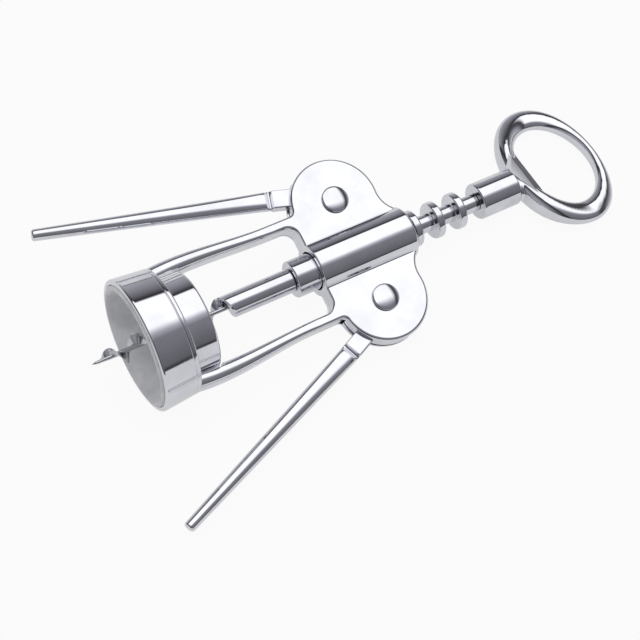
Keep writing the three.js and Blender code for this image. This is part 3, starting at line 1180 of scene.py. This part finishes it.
    def window_wall(self) -> Solid:
        """The wall between the cheeks that closes the window's end on the +Y side.

        Returns:
            The closed mesh.
        """
        sunk = 0.05
        overlap = 0.3
        foot = self.barrel_bore + 2 * self.cheek_edge
        root = self.window_end - self.rail_root_length + 2 * self.rail_overlap
        corner = self.window_corner
        centre = (self.window_end - corner, self.window_half_width - corner)
        points = [(self.window_end + sunk, foot)]
        points += arc(centre, corner + sunk, 0, math.pi / 2, 12)
        inside = self.window_half_width + sunk
        points += [(root, inside), (root, self.window_half_width + self.wall)]
        points += arc(centre, corner + self.wall, math.pi / 2, 0, 12)
        points.append((self.window_end + self.wall, foot))
        half = self.thickness / 2 - self.cheek + overlap
        return extrude(list(reversed(points)), -half, half, 0.0, steps=1)

    def barrel(self) -> Solid:
        """The tube that guides the rack.

        Returns:
            The closed mesh.
        """
        start = self.window_end - self.barrel_lip
        end = self.pivot_station + self.barrel_reach
        outline = [
            (start, self.barrel_bore),
            (start, self.barrel_radius),
            (end, self.barrel_radius),
            (end, self.barrel_bore),
        ]
        edge = self.barrel_edge / 2
        return lathe(rounded(outline, [edge / 2, edge, edge * 2, edge]))

    def rivet(self) -> Solid:
        """Plain pin with a domed head at each end, along Z.

        Returns:
            The closed mesh, round the origin.
        """
        seat = self.thickness / 2 + self.end.seat_gap
        rise = self.head_height - self.head_rim
        steps = 14
        dome = superellipse(self.head_radius, rise, self.head_square, 4 * steps)[: steps + 1]
        upper = [(seat, self.rivet_radius), (seat, self.head_radius)]
        upper += [(seat + self.head_rim + up, out) for out, up in dome]
        lower = [(-station, radius) for station, radius in reversed(upper)]
        return lathe(lower + upper, Facets.PIN).moved(Matrix.Rotation(-math.pi / 2, 4, "Y"))

    def casting(self, shop: Workshop) -> Piece:
        """Joins the casting's forms and cuts the rack's and the gears' room out of it.

        Args:
            shop: The tool's frame, the finishes and the node trees.

        Returns:
            The casting.
        """
        place = shop.tool.matrix
        casting = Piece("frame_casting_chrome", self.bell(), place)
        mirror = Matrix.Scale(-1, 4, Vector((0, 1, 0)))
        margin = 1.0
        drum_start = self.end.bell_height - self.end.bell_shoulder / 2 - margin
        drum_end = self.end.bell_height + self.end.cup_rise + margin
        drum_radius = self.end.cup_radius + self.relief
        drum = lathe(
            [(drum_start, 0), (drum_start, drum_radius), (drum_end, drum_radius), (drum_end, 0)]
        )
        outline = self.cheek_outline()
        top, rim = self.thickness / 2, self.cheek_rim
        plates = (
            extrude(outline, top - self.cheek, top, rim, steps=6, round_low=0.0, square_points=2),
            extrude(outline, -top, self.cheek - top, 0.0, steps=6, round_low=rim, square_points=2),
        )
        parts = [Piece("barrel", self.barrel(), place)]
        for side, turn in (("left", Matrix.Identity(4)), ("right", mirror)):
            rail = Piece(f"{side}_rail", self.rail().moved(turn), place)
            parts.append(rail.take([Piece("relief", drum, place)], Work.CUT))
            parts.append(Piece(f"{side}_root", self.rail_root().moved(turn), place))
            parts.append(Piece(f"{side}_wall", self.window_wall().moved(turn), place))
            parts += [Piece("cheek", plate.moved(turn), place) for plate in plates]
        slots: list[Piece] = []
        for sign in (1, -1):
            pivot = (self.pivot_station, sign * self.pivot_offset)
            slot = disc(pivot, self.slot_radius, top - self.cheek - self.rail_cover, Facets.SHAFT)
            slots.append(Piece("slot", slot, place))
        return casting.take(parts, Work.JOIN).take(slots, Work.CUT)

    def build(self, shop: Workshop) -> list[Piece]:
        """Builds and dresses the pieces.

        Args:
            shop: The tool's frame, the finishes and the node trees.

        Returns:
            The casting and its rivets.
        """
        casting = self.casting(shop).weigh_normals()
        rivets = Piece("pivot_rivets", self.rivet(), Matrix.Identity(4))
        start = (self.pivot_station, -self.pivot_offset, 0.0)
        shop.lay_row(rivets, 2, start, (0.0, 2 * self.pivot_offset, 0.0))
        return [
            casting.dress(shop.finishes, Slot.CASTING, "frame", ["frame_casting"]),
            rivets.dress(
                shop.finishes, Slot.TURNING, "frame", ["left_pivot_rivet", "right_pivot_rivet"]
            ),
        ]


@dataclass
class RackAndScrew:
    """The ringed rack, and the screw that turns in it: spindle, worm and ferrule."""

    frame: Frame
    rack_radius: float = 5.7
    neck_radius: float = 2.8
    pitch: float = 7.9
    ring: float = 2.5
    ring_count: int = 6
    ring_setback: float = 4.3
    collar_reach: float = 7.4
    collar_radius: float = 5.62
    travel: float = 25.8
    ring_round: float = 0.6
    ring_sunk_share: float = 0.9
    bore_round: float = 0.1
    stem_radius: float = 1.8
    spindle_radius: float = 3.6
    spindle_clear: float = 10.8
    spindle_edge: float = 0.6
    worm_core: float = 0.7
    worm_radius: float = 3.65
    worm_pitch: float = 8.8
    worm_phase: float = math.radians(-29.6)
    worm_tip: float = -13.2
    worm_point: float = 6.0
    worm_grow: float = 8.0
    tip_share: float = 0.6
    tip_round: float = 1.0
    core_round: float = 3.0
    flight_crest: float = 0.9
    flight_root: float = 1.3
    flight_edge: float = 0.3
    flight_steps: int = 72
    sink_share: float = 0.25
    nose_first: float = math.radians(5)
    nose_last: float = math.radians(195)
    nose_turn: int = 3
    nose_edge: float = 0.45
    nose_sunk: float = 0.02
    ferrule_radius: float = 5.7
    ferrule_length: float = 13.8
    ferrule_edge: float = 0.6

    @property
    def first_ring(self) -> float:
        """Station of the ring nearest the bell, at rest."""
        return self.frame.pivot_station - self.ring_setback

    @property
    def rack_start(self) -> float:
        """Station where the rack's collar starts."""
        return self.frame.window_end - self.collar_reach

    @property
    def ferrule_start(self) -> float:
        """Station where the ferrule starts."""
        return self.frame.pivot_station + self.frame.barrel_reach + self.travel

    @property
    def spindle_start(self) -> float:
        """Station where the spindle starts."""
        return self.frame.end.bell_height + self.frame.end.cup_rise + self.spindle_clear

    def sleeve(self) -> Solid:
        """The rack's bored stem with its plain collar.

        Returns:
            The closed mesh.
        """
        gap = self.frame.end.seat_gap
        bore = self.stem_radius + gap
        collar_end = self.first_ring - self.pitch + self.ring / 2
        outline = [
            (self.rack_start, bore),
            (self.rack_start, self.collar_radius),
            (collar_end, self.collar_radius),
            (collar_end, self.neck_radius),
            (self.ferrule_start - gap, self.neck_radius),
            (self.ferrule_start - gap, bore),
        ]
        rim, ends = self.ring_round, self.bore_round
        return lathe(rounded(outline, [ends, rim, rim, rim / 2, ends, 0.0]), Facets.SHAFT)

    def one_ring(self) -> Solid:
        """One ring of the rack, round the origin, sunk a little into the stem.

        Returns:
            The closed mesh.
        """
        half = self.ring / 2
        sunk = self.neck_radius * self.ring_sunk_share
        rim, foot = self.ring_round, self.ring_round / 2
        outline = [
            (-half - foot, sunk),
            (-half, self.neck_radius + foot),
            (-half, self.rack_radius),
            (half, self.rack_radius),
            (half, self.neck_radius + foot),
            (half + foot, sunk),
        ]
        return lathe(rounded(outline, [0.0, foot, rim, rim, foot, 0.0]), Facets.SHAFT)

    def spindle(self) -> Solid:
        """The shaft under the rack, with its stem through the rack.

        Returns:
            The closed mesh.
        """
        gap = self.frame.end.seat_gap
        shoulder = self.rack_start - gap
        bore = self.worm_core + gap
        depth = self.spindle_start + 2 * self.worm_core
        stem_end = self.ferrule_start + self.ferrule_length
        outline = [
            (depth, 0.0),
            (depth, bore),
            (self.spindle_start, bore),
            (self.spindle_start, self.spindle_radius),
            (shoulder, self.spindle_radius),
            (shoulder, self.stem_radius),
            (stem_end, self.stem_radius),
            (stem_end, 0.0),
        ]
        edge = self.spindle_edge
        return lathe(rounded(outline, [0.0, 0.0, edge / 3, edge, edge / 2, 0.0, 0.0, 0.0]), Facets.SHAFT)

    def core(self) -> Solid:
        """The worm's pointed core.

        Returns:
            The closed mesh.
        """
        end = self.spindle_start + self.worm_core
        outline = [
            (self.worm_tip, 0.0),
            (self.worm_tip + self.worm_point / 4, self.worm_core * self.tip_share),
            (self.worm_tip + self.worm_point, self.worm_core),
            (end, self.worm_core),
            (end, 0.0),
        ]
        return lathe(rounded(outline, [0.0, self.tip_round, self.core_round, 0.0, 0.0]), Facets.PIN)

    def flight(self, shop: Workshop) -> Piece:
        """Winds the worm's spiral flight, which grows from the point.

        Args:
            shop: The tool's frame, the finishes and the node trees.

        Returns:
            The flight, laid in the tool's frame.
        """
        start = self.worm_tip + self.worm_point / 3
        length = self.flight_station(self.nose_first) - self.frame.end.seat_gap - start
        foot = self.worm_core * self.sink_share
        sizes = {
            "Turns": length / self.worm_pitch,
            "Length": length,
            "Foot Radius": foot,
            "Blade Height": self.worm_radius - foot,
            "Foot Width": self.flight_root,
            "Crest Width": self.flight_crest,
            "Edge": self.flight_edge,
            "Growth": self.worm_grow,
            "Steps": self.flight_steps,
        }
        flight = Piece("flight", Solid(), Matrix.Identity(4))
        shop.flights.run(flight, {**sizes, "Material": shop.finishes.by_slot[Slot.WORM]})
        flight.turn_outward()
        lay_down = Matrix(((0, 0, 1, start), (1, 0, 0, 0), (0, 1, 0, 0), (0, 0, 0, 1)))
        first = self.worm_phase + 2 * math.pi * start / self.worm_pitch
        flight.object.data.transform(shop.tool.matrix @ Matrix.Rotation(first, 4, "X") @ lay_down)
        return flight

    def flight_station(self, angle: float) -> float:
        """Returns where the flight's crest stands at an angle round the axis, on its last turn.

        Args:
            angle: The angle round the axis, in radians from +Y towards +Z.

        Returns:
            The station, in millimetres from the bell's mouth.
        """
        return self.worm_pitch * ((angle - self.worm_phase) / (2 * math.pi) + self.nose_turn)

    def nose(self) -> Solid:
        """The spindle's front end, which runs out into the worm's last turn as a spiral ramp.

        Returns:
            The closed mesh.
        """
        back = self.spindle_start + 3 * self.nose_edge
        foot = self.worm_core + self.frame.end.seat_gap + self.nose_sunk
        radius, edge = self.spindle_radius - self.nose_sunk, self.nose_edge
        rings: list[Ring] = []
        steps = 48
        for i in range(steps + 1):
            share = i / steps
            angle = between(self.nose_first, self.nose_last, share)
            front = self.flight_station(angle) - self.flight_crest / 2
            section = [(back, foot), (back, radius)]
            section += [(front + edge, radius), (front, radius - edge), (front, foot)]
            rings.append([(x, r * math.cos(angle), r * math.sin(angle)) for x, r in section])
        return skin(rings)

    def ferrule(self) -> Solid:
        """The plain sleeve at the foot of the handle.

        Returns:
            The closed mesh.
        """
        start, end = self.ferrule_start, self.ferrule_start + self.ferrule_length
        bore = self.stem_radius + self.frame.end.seat_gap
        outline = [(start, bore), (start, self.ferrule_radius), (end, self.ferrule_radius), (end, bore)]
        edge = self.ferrule_edge
        return lathe(rounded(outline, [edge / 4, edge, edge, 0.0]), Facets.SHAFT)

    def build(self, shop: Workshop) -> list[Piece]:
        """Builds and dresses the pieces.

        Args:
            shop: The tool's frame, the finishes and the node trees.

        Returns:
            The rack, the spindle, the worm and the ferrule.
        """
        place = shop.tool.matrix
        sleeve = Piece("rack_sleeve", self.sleeve(), place).weigh_normals()
        rings = Piece("rack_rings", self.one_ring(), Matrix.Identity(4))
        shop.lay_row(rings, self.ring_count, (self.first_ring, 0.0, 0.0), (self.pitch, 0.0, 0.0))
        nose = Piece("nose", self.nose(), place)
        nose.turn_outward()
        spindle = Piece("spindle_shaft", self.spindle(), place)
        spindle.take([nose], Work.JOIN).weigh_normals()
        core = Piece("auger_worm", self.core(), place, sharp_deg=40.0)
        worm = core.take([self.flight(shop)], Work.JOIN).weigh_normals()
        ferrule = Piece("ferrule_sleeve", self.ferrule(), place).weigh_normals()
        finishes = shop.finishes
        return [
            sleeve.dress(finishes, Slot.TURNING, "rack", ["annular_rack"]),
            rings.dress(finishes, Slot.TURNING, "rack", ["annular_rack"]),
            spindle.dress(finishes, Slot.TURNING, "screw", ["spindle"]),
            worm.dress(finishes, Slot.WORM, "screw", ["worm"]),
            ferrule.dress(finishes, Slot.TURNING, "screw", ["handle_ferrule"]),
        ]


@dataclass(frozen=True)
class ArmSection:
    """One cross-section of a lever's arm, a superellipse that stands across it."""

    station: float
    aside: float
    half_width: float
    half_thickness: float
    square: float

    def ring(self) -> Ring:
        """Gives the section's points in the lever's own frame."""
        shape = superellipse(self.half_width, self.half_thickness, self.square, Facets.SECTION.value)
        return [(self.station, self.aside + across, up) for across, up in shape]


@dataclass
class Lever:
    """One of the two levers: a gear sector, a block and a long tapering arm."""

    rack: RackAndScrew
    length: float = 88.89
    left_angle: float = math.radians(15.8)
    right_angle: float = math.radians(23.6)
    shut_angle: float = math.radians(5.5)
    pitch_radius: float = 12.3
    outer_radius: float = 13.0
    gear_thickness: float = 3.4
    side_clearance: float = 1.0
    tip_clearance: float = 0.35
    bore_clearance: float = 0.3
    bore_reach: float = 4.0
    plate_start: float = 12.6
    plate_end: float = 18.1
    plate_half: float = 1.85
    plate_square: float = 12.0
    groove_length: float = 2.4
    groove_floor: float = 0.85
    groove_skew: float = 0.8
    arm_width: float = 5.6
    root_thickness: float = 3.9
    tip_width: float = 3.4
    tip_thickness: float = 3.5
    root_square: float = 3.0
    arm_square: float = 2.0
    square_run: float = 0.14
    tip_round: float = 0.8
    tip_taper: float = 1.2
    edge: float = 0.35
    gear_edge: float = 0.15

    def gear_outline(self) -> Profile:
        """Outline of the gear sector: along each ray it reaches as far as the passing rings ever let it.

        Returns:
            The outline's points, round the pivot.
        """
        rack = self.rack
        mean = (self.left_angle + self.right_angle) / 2
        first_turn, last_turn = self.shut_angle - self.left_angle, rack.travel / self.pitch_radius
        turns = np.linspace(first_turn, last_turn, num=561)
        half = rack.ring / 2 + self.side_clearance
        rim = rack.frame.pivot_offset - rack.rack_radius - self.tip_clearance
        first = rack.first_ring - rack.frame.pivot_station
        stations = [first + rack.pitch * i for i in range(-1, rack.ring_count)]
        rays = 360
        outline: Profile = []
        for i in range(rays):
            ray = 2 * math.pi * i / rays
            heading = ray + mean + turns
            along, inward = -np.cos(heading), -np.sin(heading)
            reach = self.outer_radius
            facing = inward > 1e-9
            for station in stations:
                centre = station - self.pitch_radius * turns[facing]
                sides = np.stack(
                    [(centre - half) / along[facing], (centre + half) / along[facing]]
                )
                enter = np.maximum(rim / inward[facing], sides.min(0))
                met = (enter < sides.max(0)) & (enter > 0)
                if met.any():
                    reach = min(reach, float(enter[met].min()))
            outline.append((reach * math.cos(ray), reach * math.sin(ray)))
        return outline

    @property
    def arm_start(self) -> float:
        """Station where the arm starts, behind the groove."""
        return self.plate_end + self.groove_length

    @property
    def tip_start(self) -> float:
        """Station where the arm's tip starts to round."""
        return self.length - self.tip_round

    def plate_sections(self) -> list[ArmSection]:
        """The plate beside the ear, and the groove that parts it from the arm.

        Returns:
            The cross-sections from the plate's start to the groove's end.
        """
        half = self.arm_width / 2
        sections = [
            ArmSection(station, half, half, self.plate_half, self.plate_square)
            for station in (self.plate_start, self.plate_end)
        ]
        steps = 16
        for i in range(1, steps + 1):
            share = i / steps
            station = self.plate_end + self.groove_length * share
            rim = between(self.plate_half, self.root_thickness / 2, share)
            dip = math.sin(math.pi * share**self.groove_skew)
            thick = rim - (rim - self.groove_floor) * dip
            square = between(self.plate_square, self.root_square, share)
            sections.append(ArmSection(station, half, half, thick, square))
        return sections

    def arm_sections(self) -> list[ArmSection]:
        """The long arm, which narrows to its tip and leans in to the lever's middle line.

        Returns:
            The cross-sections from behind the groove to where the tip starts to round.
        """
        half = self.arm_width / 2
        lean = half / (self.length - self.arm_start)
        sections: list[ArmSection] = []
        steps = 40
        for i in range(1, steps + 1):
            share = i / steps
            station = between(self.arm_start, self.tip_start, share)
            wide = between(half, self.tip_width / 2, share)
            thick = between(self.root_thickness, self.tip_thickness, share) / 2
            square = between(self.arm_square, self.root_square, math.exp(-share / self.square_run))
            aside = half - lean * (station - self.arm_start)
            sections.append(ArmSection(station, aside, wide, thick, square))
        return sections

    def tip_sections(self) -> list[ArmSection]:
        """The rounded tip.

        Returns:
            The cross-sections from where the tip starts to round to its end.
        """
        sections: list[ArmSection] = []
        steps = 6
        for i in range(1, steps + 1):
            turn = math.pi / 2 * i / steps
            station = self.tip_start + self.tip_round * math.sin(turn)
            inset = self.tip_round * (1 - math.cos(turn)) / self.tip_taper
            wide, thick = self.tip_width / 2 - inset, self.tip_thickness / 2 - inset
            sections.append(ArmSection(station, 0.0, wide, thick, self.arm_square))
        return sections

    def arm(self) -> Solid:
        """The plate, the groove behind it and the arm, with the pivot at the origin and the tip on +X."""
        sections = self.plate_sections() + self.arm_sections() + self.tip_sections()
        return skin([section.ring() for section in sections])

    def solid(self, name: str, place: Matrix) -> Piece:
        """Joins the lever's forms and bores it for its rivet.

        Args:
            name: The piece's name.
            place: Matrix from the lever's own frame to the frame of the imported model.

        Returns:
            The lever.
        """
        half = self.gear_thickness / 2
        gear = Piece(name, extrude(self.gear_outline(), -half, half, self.gear_edge, steps=2), place)
        web_start = self.rack.frame.head_radius
        low, high = self.edge / 4, self.arm_width - self.edge / 4
        outline = [(web_start, low), (self.plate_end, low), (self.plate_end, high), (web_start, high)]
        web = Piece("web", extrude(outline, -half, half, self.edge / 2), place)
        arm = Piece("arm", self.arm(), place)
        bore_radius = self.rack.frame.rivet_radius + self.bore_clearance
        bore = Piece("bore", disc((0, 0), bore_radius, self.bore_reach, Facets.SMALL), place)
        return gear.take([web, arm], Work.JOIN).take([bore], Work.CUT)

    def build(self, shop: Workshop) -> list[Piece]:
        """Builds and dresses both levers; the left one is the same casting turned over.

        Args:
            shop: The tool's frame, the finishes and the node trees.

        Returns:
            The left and the right lever.
        """
        pieces: list[Piece] = []
        frame = self.rack.frame
        for side, sign, angle in (("left", 1, self.left_angle), ("right", -1, self.right_angle)):
            place = (
                shop.tool.matrix
                @ Matrix.Translation((frame.pivot_station, sign * frame.pivot_offset, 0))
                @ Matrix.Rotation(sign * (math.pi - angle), 4, "Z")
            )
            if sign > 0:
                place = place @ Matrix.Rotation(math.pi, 4, "X")
            lever = self.solid(f"{side}_lever_chrome", place).weigh_normals()
            pieces.append(lever.dress(shop.finishes, Slot.CASTING, f"{side}_arm", [f"{side}_lever"]))
        return pieces


@dataclass
class Handle:
    """The cast handle: flaring throat, oval loop and the straight lip that lifts a cap."""

    rack: RackAndScrew
    roll: float = math.radians(-16.6)
    throat_radius: float = 5.1
    throat_length: float = 4.8
    throat_flare: float = 8.6
    loop_reach: float = 17.2
    loop_aside: float = 0.9
    far_length: float = 13.5
    near_length: float = 14.4
    half_width: float = 19.3
    flank: float = 3.7
    far_end: float = 1.5
    near_end: float = 2.5
    half_thickness: float = 2.35
    root_rise: float = 2.4
    rise_power: float = 1.5
    rise_dip: float = 0.35
    throat_height: float = 3.8
    square: float = 2.2
    lip_edge_reach: float = 3.1
    lip_root: tuple[float, float] = (2.2, 5.0)
    lip_chord: tuple[float, float] = (-7.6, 6.9)
    lip_horn: tuple[float, float] = (1.2, 12.6)
    lip_floor: float = -1.7
    lip_top: float = 4.3
    lip_lean: float = math.radians(4.9)
    lip_bevel: float = 1.9
    lip_bevel_lean: float = math.radians(15.5)
    lip_crease: float = 0.15
    voxel: float = 0.26
    blend_share: float = 0.5
    blend_rounds: int = 16

    @property
    def centre(self) -> float:
        """Station of the loop's centre."""
        return self.rack.ferrule_start + self.rack.ferrule_length + self.loop_reach

    def loop(self) -> Solid:
        """The oval loop, widest at its flanks and thinnest at its far end.

        Returns:
            The closed mesh.
        """
        steps = 160
        rings: list[Ring] = []
        for i in range(steps):
            angle = -2 * math.pi * i / steps
            c, s = math.cos(angle), math.sin(angle)
            reach, end = (self.far_length, self.far_end) if c > 0 else (self.near_length, self.near_end)
            centre = np.array((self.centre + reach * c, self.loop_aside + self.half_width * s))
            normal = np.array((self.half_width * c, reach * s))
            normal /= np.linalg.norm(normal)
            wide = self.flank + (end - self.flank) * c * c
            near = max(0.0, -c)
            rise = self.root_rise * near**self.rise_power * (1 - self.rise_dip * near**6)
            high = self.half_thickness + rise
            section = superellipse(wide, high, self.square, Facets.SMALL.value)
            rings.append([(*(centre + normal * across), up) for across, up in section])
        return skin(rings, closed=True)

    def throat(self) -> Solid:
        """The flare between the ferrule and the loop.

        Returns:
            The closed mesh.
        """
        start = self.rack.ferrule_start + self.rack.ferrule_length + self.rack.frame.end.seat_gap
        steps = 16
        rings: list[Ring] = []
        for i in range(steps + 1):
            share = i / steps
            wide = between(self.throat_radius, self.throat_flare, share**2)
            section = superellipse(wide, self.throat_height, self.square, Facets.SECTION.value)
            rings.append([(start + self.throat_length * share, across, up) for across, up in section])
        return skin(rings)

    def lip(self) -> Solid:
        """The web that fans out from the throat, leans down to its straight edge and ends in a bevel.

        Returns:
            The closed mesh.
        """
        start = self.rack.ferrule_start + self.rack.ferrule_length + 2 * self.rack.frame.end.seat_gap
        edge = self.centre - self.near_length + self.lip_edge_reach
        crease = edge - self.lip_bevel
        inner, outer = self.lip_root
        foot, top_end = self.lip_chord
        past, horn = self.lip_horn

        def height(station: float) -> float:
            """Height of the leaning top at a station."""
            return self.lip_top - math.tan(self.lip_lean) * (station - start)

        low, high = crease + self.lip_crease, crease - self.lip_crease
        chord = height(crease) - math.tan(self.lip_bevel_lean) * (edge - low) - self.lip_crease / 2
        rings: list[Ring] = []
        for share, station, level in (
            (0.0, edge, self.lip_floor),
            (0.5, edge, chord),
            (0.8, low, height(low) - self.lip_crease / 3),
            (1.0, high, height(high)),
        ):
            root = between(self.lip_floor, self.lip_top, share)
            tip = between(self.lip_floor, height(edge + past), share)
            rings.append(
                [
                    (start, outer, root),
                    (start, inner, root),
                    (station, foot, level),
                    (station, top_end, level),
                    (edge + past, horn, tip),
                ]
            )
        return skin(rings)

    def build(self, shop: Workshop) -> list[Piece]:
        """Builds and dresses the handle.

        Args:
            shop: The tool's frame, the finishes and the node trees.

        Returns:
            The handle.
        """
        place = shop.tool.matrix @ Matrix.Rotation(self.roll, 4, "X")
        handle = Piece("cap_lifter_handle", self.loop(), place, sharp_deg=40.0)
        handle.take([Piece("throat", self.throat(), place)], Work.JOIN)
        remesh = handle.object.modifiers.new("cast", "REMESH")
        remesh.mode = "VOXEL"
        remesh.voxel_size = self.voxel * MM
        blend = handle.object.modifiers.new("blend", "SMOOTH")
        blend.factor = self.blend_share
        blend.iterations = self.blend_rounds
        handle.settle()
        handle.take([Piece("lip", self.lip(), place)], Work.JOIN).weigh_normals()
        return [handle.dress(shop.finishes, Slot.CASTING, "screw", ["handle_loop"])]


# Studio


@dataclass(frozen=True)
class StudioTone:
    """How bright the studio is at one place.

    Round the tool a place is an angle in degrees from straight overhead, positive towards the viewer.
    Along the tool it is the share of the way out to its ends, from -1 past the bell to 1 past the handle.
    """

    place: float
    strength: float


@dataclass
class Studio:
    """A plain pale table under one broad soft light, with darker room behind the viewer."""

    camera_place: tuple[float, float, float] = (-0.12946, -0.17804, 0.37506)
    camera_turn: tuple[float, float, float] = (28.829, -1.1752, -30.1857)
    lens_mm: float = 80.84
    sensor_mm: float = 36.0
    clip_start: float = 0.01
    table_size: float = 6.0
    table_hex: str = "#F4F4F3"
    white_to_camera: float = 0.93
    white_to_metal: float = 0.55
    room_hex: str = "#F1EFFA"
    round_tones: tuple[StudioTone, ...] = (
        StudioTone(-96.0, 0.55),
        StudioTone(-91.0, 0.12),
        StudioTone(-87.0, 0.5),
        StudioTone(-70.0, 0.36),
        StudioTone(-56.0, 0.2),
        StudioTone(-47.0, 0.05),
        StudioTone(-44.0, 0.03),
        StudioTone(-41.0, 1.35),
        StudioTone(11.0, 1.35),
        StudioTone(22.0, 0.6),
        StudioTone(32.0, 0.29),
        StudioTone(60.0, 0.23),
        StudioTone(82.0, 0.17),
        StudioTone(88.0, 0.03),
        StudioTone(93.0, 0.45),
    )
    end_tones: tuple[StudioTone, ...] = (
        StudioTone(-0.98, 0.5),
        StudioTone(-0.8, 0.28),
        StudioTone(-0.6, 0.09),
        StudioTone(-0.42, 0.03),
        StudioTone(0.7, 0.05),
        StudioTone(0.85, 0.12),
        StudioTone(0.98, 0.5),
    )
    window: tuple[StudioTone, ...] = (
        StudioTone(-0.42, 0.0),
        StudioTone(-0.3, 1.0),
        StudioTone(0.64, 1.0),
        StudioTone(0.76, 0.0),
    )

    def camera(self) -> None:
        """Places the camera at the viewing angle."""
        data = bpy.data.cameras.new("camera")
        data.lens = self.lens_mm
        data.sensor_width = self.sensor_mm
        data.clip_start = self.clip_start
        camera = bpy.data.objects.new("camera", data)
        camera.location = self.camera_place
        camera.rotation_euler = [math.radians(angle) for angle in self.camera_turn]
        bpy.context.scene.collection.objects.link(camera)
        bpy.context.scene.camera = camera

    def table(self) -> None:
        """Lays the pale table, which shows white to the camera and to metal and keeps a soft shadow."""
        half = self.table_size / 2
        mesh = bpy.data.meshes.new("table")
        corners = [(-half, -half, 0), (half, -half, 0), (half, half, 0), (-half, half, 0)]
        mesh.from_pydata(corners, [], [(0, 1, 2, 3)])
        table = bpy.data.objects.new("table", mesh)
        bpy.context.scene.collection.objects.link(table)
        material, tree = new_material("white_laminate")
        rays = add_node(tree, "ShaderNodeLightPath").outputs
        camera = add_node(
            tree,
            "ShaderNodeMath",
            {0: rays["Is Camera Ray"], 1: self.white_to_camera},
            operation="MULTIPLY",
        )
        seen = add_node(
            tree,
            "ShaderNodeMath",
            {0: rays["Is Glossy Ray"], 1: rays["Is Transmission Ray"]},
            operation="MAXIMUM",
        )
        metal = add_node(
            tree, "ShaderNodeMath", {0: seen.outputs[0], 1: self.white_to_metal}, operation="MULTIPLY"
        )
        share = add_node(
            tree, "ShaderNodeMath", {0: camera.outputs[0], 1: metal.outputs[0]}, operation="MAXIMUM"
        )
        dull = add_node(tree, "ShaderNodeBsdfDiffuse", {"Color": linear_colour(self.table_hex)})
        white = add_node(tree, "ShaderNodeEmission", {"Strength": 1.0})
        mix = add_node(
            tree, "ShaderNodeMixShader", {0: share.outputs[0], 1: dull.outputs[0], 2: white.outputs[0]}
        )
        add_node(tree, "ShaderNodeOutputMaterial", {"Surface": mix.outputs[0]})
        mesh.materials.append(material)

    def tone_ramp(
        self,
        tree: bpy.types.NodeTree,
        place: bpy.types.NodeSocket,
        tones: tuple[StudioTone, ...],
        reach: float,
        top: float,
    ) -> bpy.types.NodeSocket:
        """Adds a ramp through a row of tones.

        Args:
            tree: The world's tree.
            place: Output socket of the place that the tones are looked up by.
            tones: The tones in order.
            reach: Largest place, either way.
            top: Strength that the ramp shows as 1.

        Returns:
            The ramp's colour output.
        """
        share = add_node(
            tree, "ShaderNodeMapRange", {"Value": place, "From Min": -reach, "From Max": reach}
        )
        ramp = add_node(tree, "ShaderNodeValToRGB", {"Fac": share.outputs["Result"]})
        elements = ramp.color_ramp.elements
        elements.remove(elements[-1])
        room = linear_colour(self.room_hex)
        for i, tone in enumerate(tones):
            position = (tone.place + reach) / (2 * reach)
            element = elements[0] if i == 0 else elements.new(position)
            element.position = position
            level = tone.strength / top
            tint = room if tone.strength < 1 else WHITE
            element.color = [level * channel for channel in tint[:3]] + [1.0]
        return ramp.outputs["Color"]

    def room(self) -> None:
        """Paints the studio round the table: one broad soft light overhead and a darker front."""
        world = bpy.data.worlds.new("studio")
        bpy.context.scene.world = world
        world.use_nodes = True
        tree = world.node_tree
        tree.nodes.clear()
        way = add_node(tree, "ShaderNodeTexCoord").outputs["Generated"]
        axes = add_node(tree, "ShaderNodeSeparateXYZ", {"Vector": way}).outputs
        front = add_node(tree, "ShaderNodeMath", {0: axes["Y"], 1: -1.0}, operation="MULTIPLY")
        angle = add_node(tree, "ShaderNodeMath", {0: front.outputs[0], 1: axes["Z"]}, operation="ARCTAN2")
        degrees = add_node(tree, "ShaderNodeMath", {0: angle.outputs[0]}, operation="DEGREES")
        top = max(tone.strength for tone in self.round_tones)
        round_tool = self.tone_ramp(tree, degrees.outputs[0], self.round_tones, 180.0, top)
        at_ends = self.tone_ramp(tree, axes["X"], self.end_tones, 1.0, top)
        window = self.tone_ramp(tree, axes["X"], self.window, 1.0, 1.0)
        tone = add_node(
            tree,
            "ShaderNodeMixRGB",
            {"Fac": window, "Color1": at_ends, "Color2": round_tool},
        )
        lit = add_node(
            tree, "ShaderNodeBackground", {"Color": tone.outputs["Color"], "Strength": top}
        )
        backdrop = add_node(tree, "ShaderNodeBackground", {"Color": WHITE, "Strength": 1.0})
        rays = add_node(tree, "ShaderNodeLightPath").outputs
        mix = add_node(
            tree,
            "ShaderNodeMixShader",
            {0: rays["Is Camera Ray"], 1: lit.outputs[0], 2: backdrop.outputs[0]},
        )
        add_node(tree, "ShaderNodeOutputWorld", {"Surface": mix.outputs[0]})

    def build(self) -> None:
        """Builds the studio."""
        bpy.context.scene.view_settings.view_transform = "Standard"
        self.camera()
        self.table()
        self.room()


def main() -> None:
    """Builds the corkscrew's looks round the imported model."""
    logging.basicConfig(level=logging.INFO, format="%(name)s: %(message)s")
    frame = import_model()
    Studio().build()
    casting = Frame()
    rack = RackAndScrew(casting)
    tool = ToolFrame(frame, casting.pivot_station)
    axis = (tool.matrix.to_3x3() @ Vector((1, 0, 0))).normalized()
    shop = Workshop(tool, Finishes.of(axis), RowOfCopies(), SpiralFlight())
    pieces: list[Piece] = []
    for assembly in (casting, casting.end, rack, Lever(rack), Handle(rack)):
        pieces += assembly.build(shop)
    LOG.info("%d pieces", len(pieces))


if __name__ == "__main__":
    main()
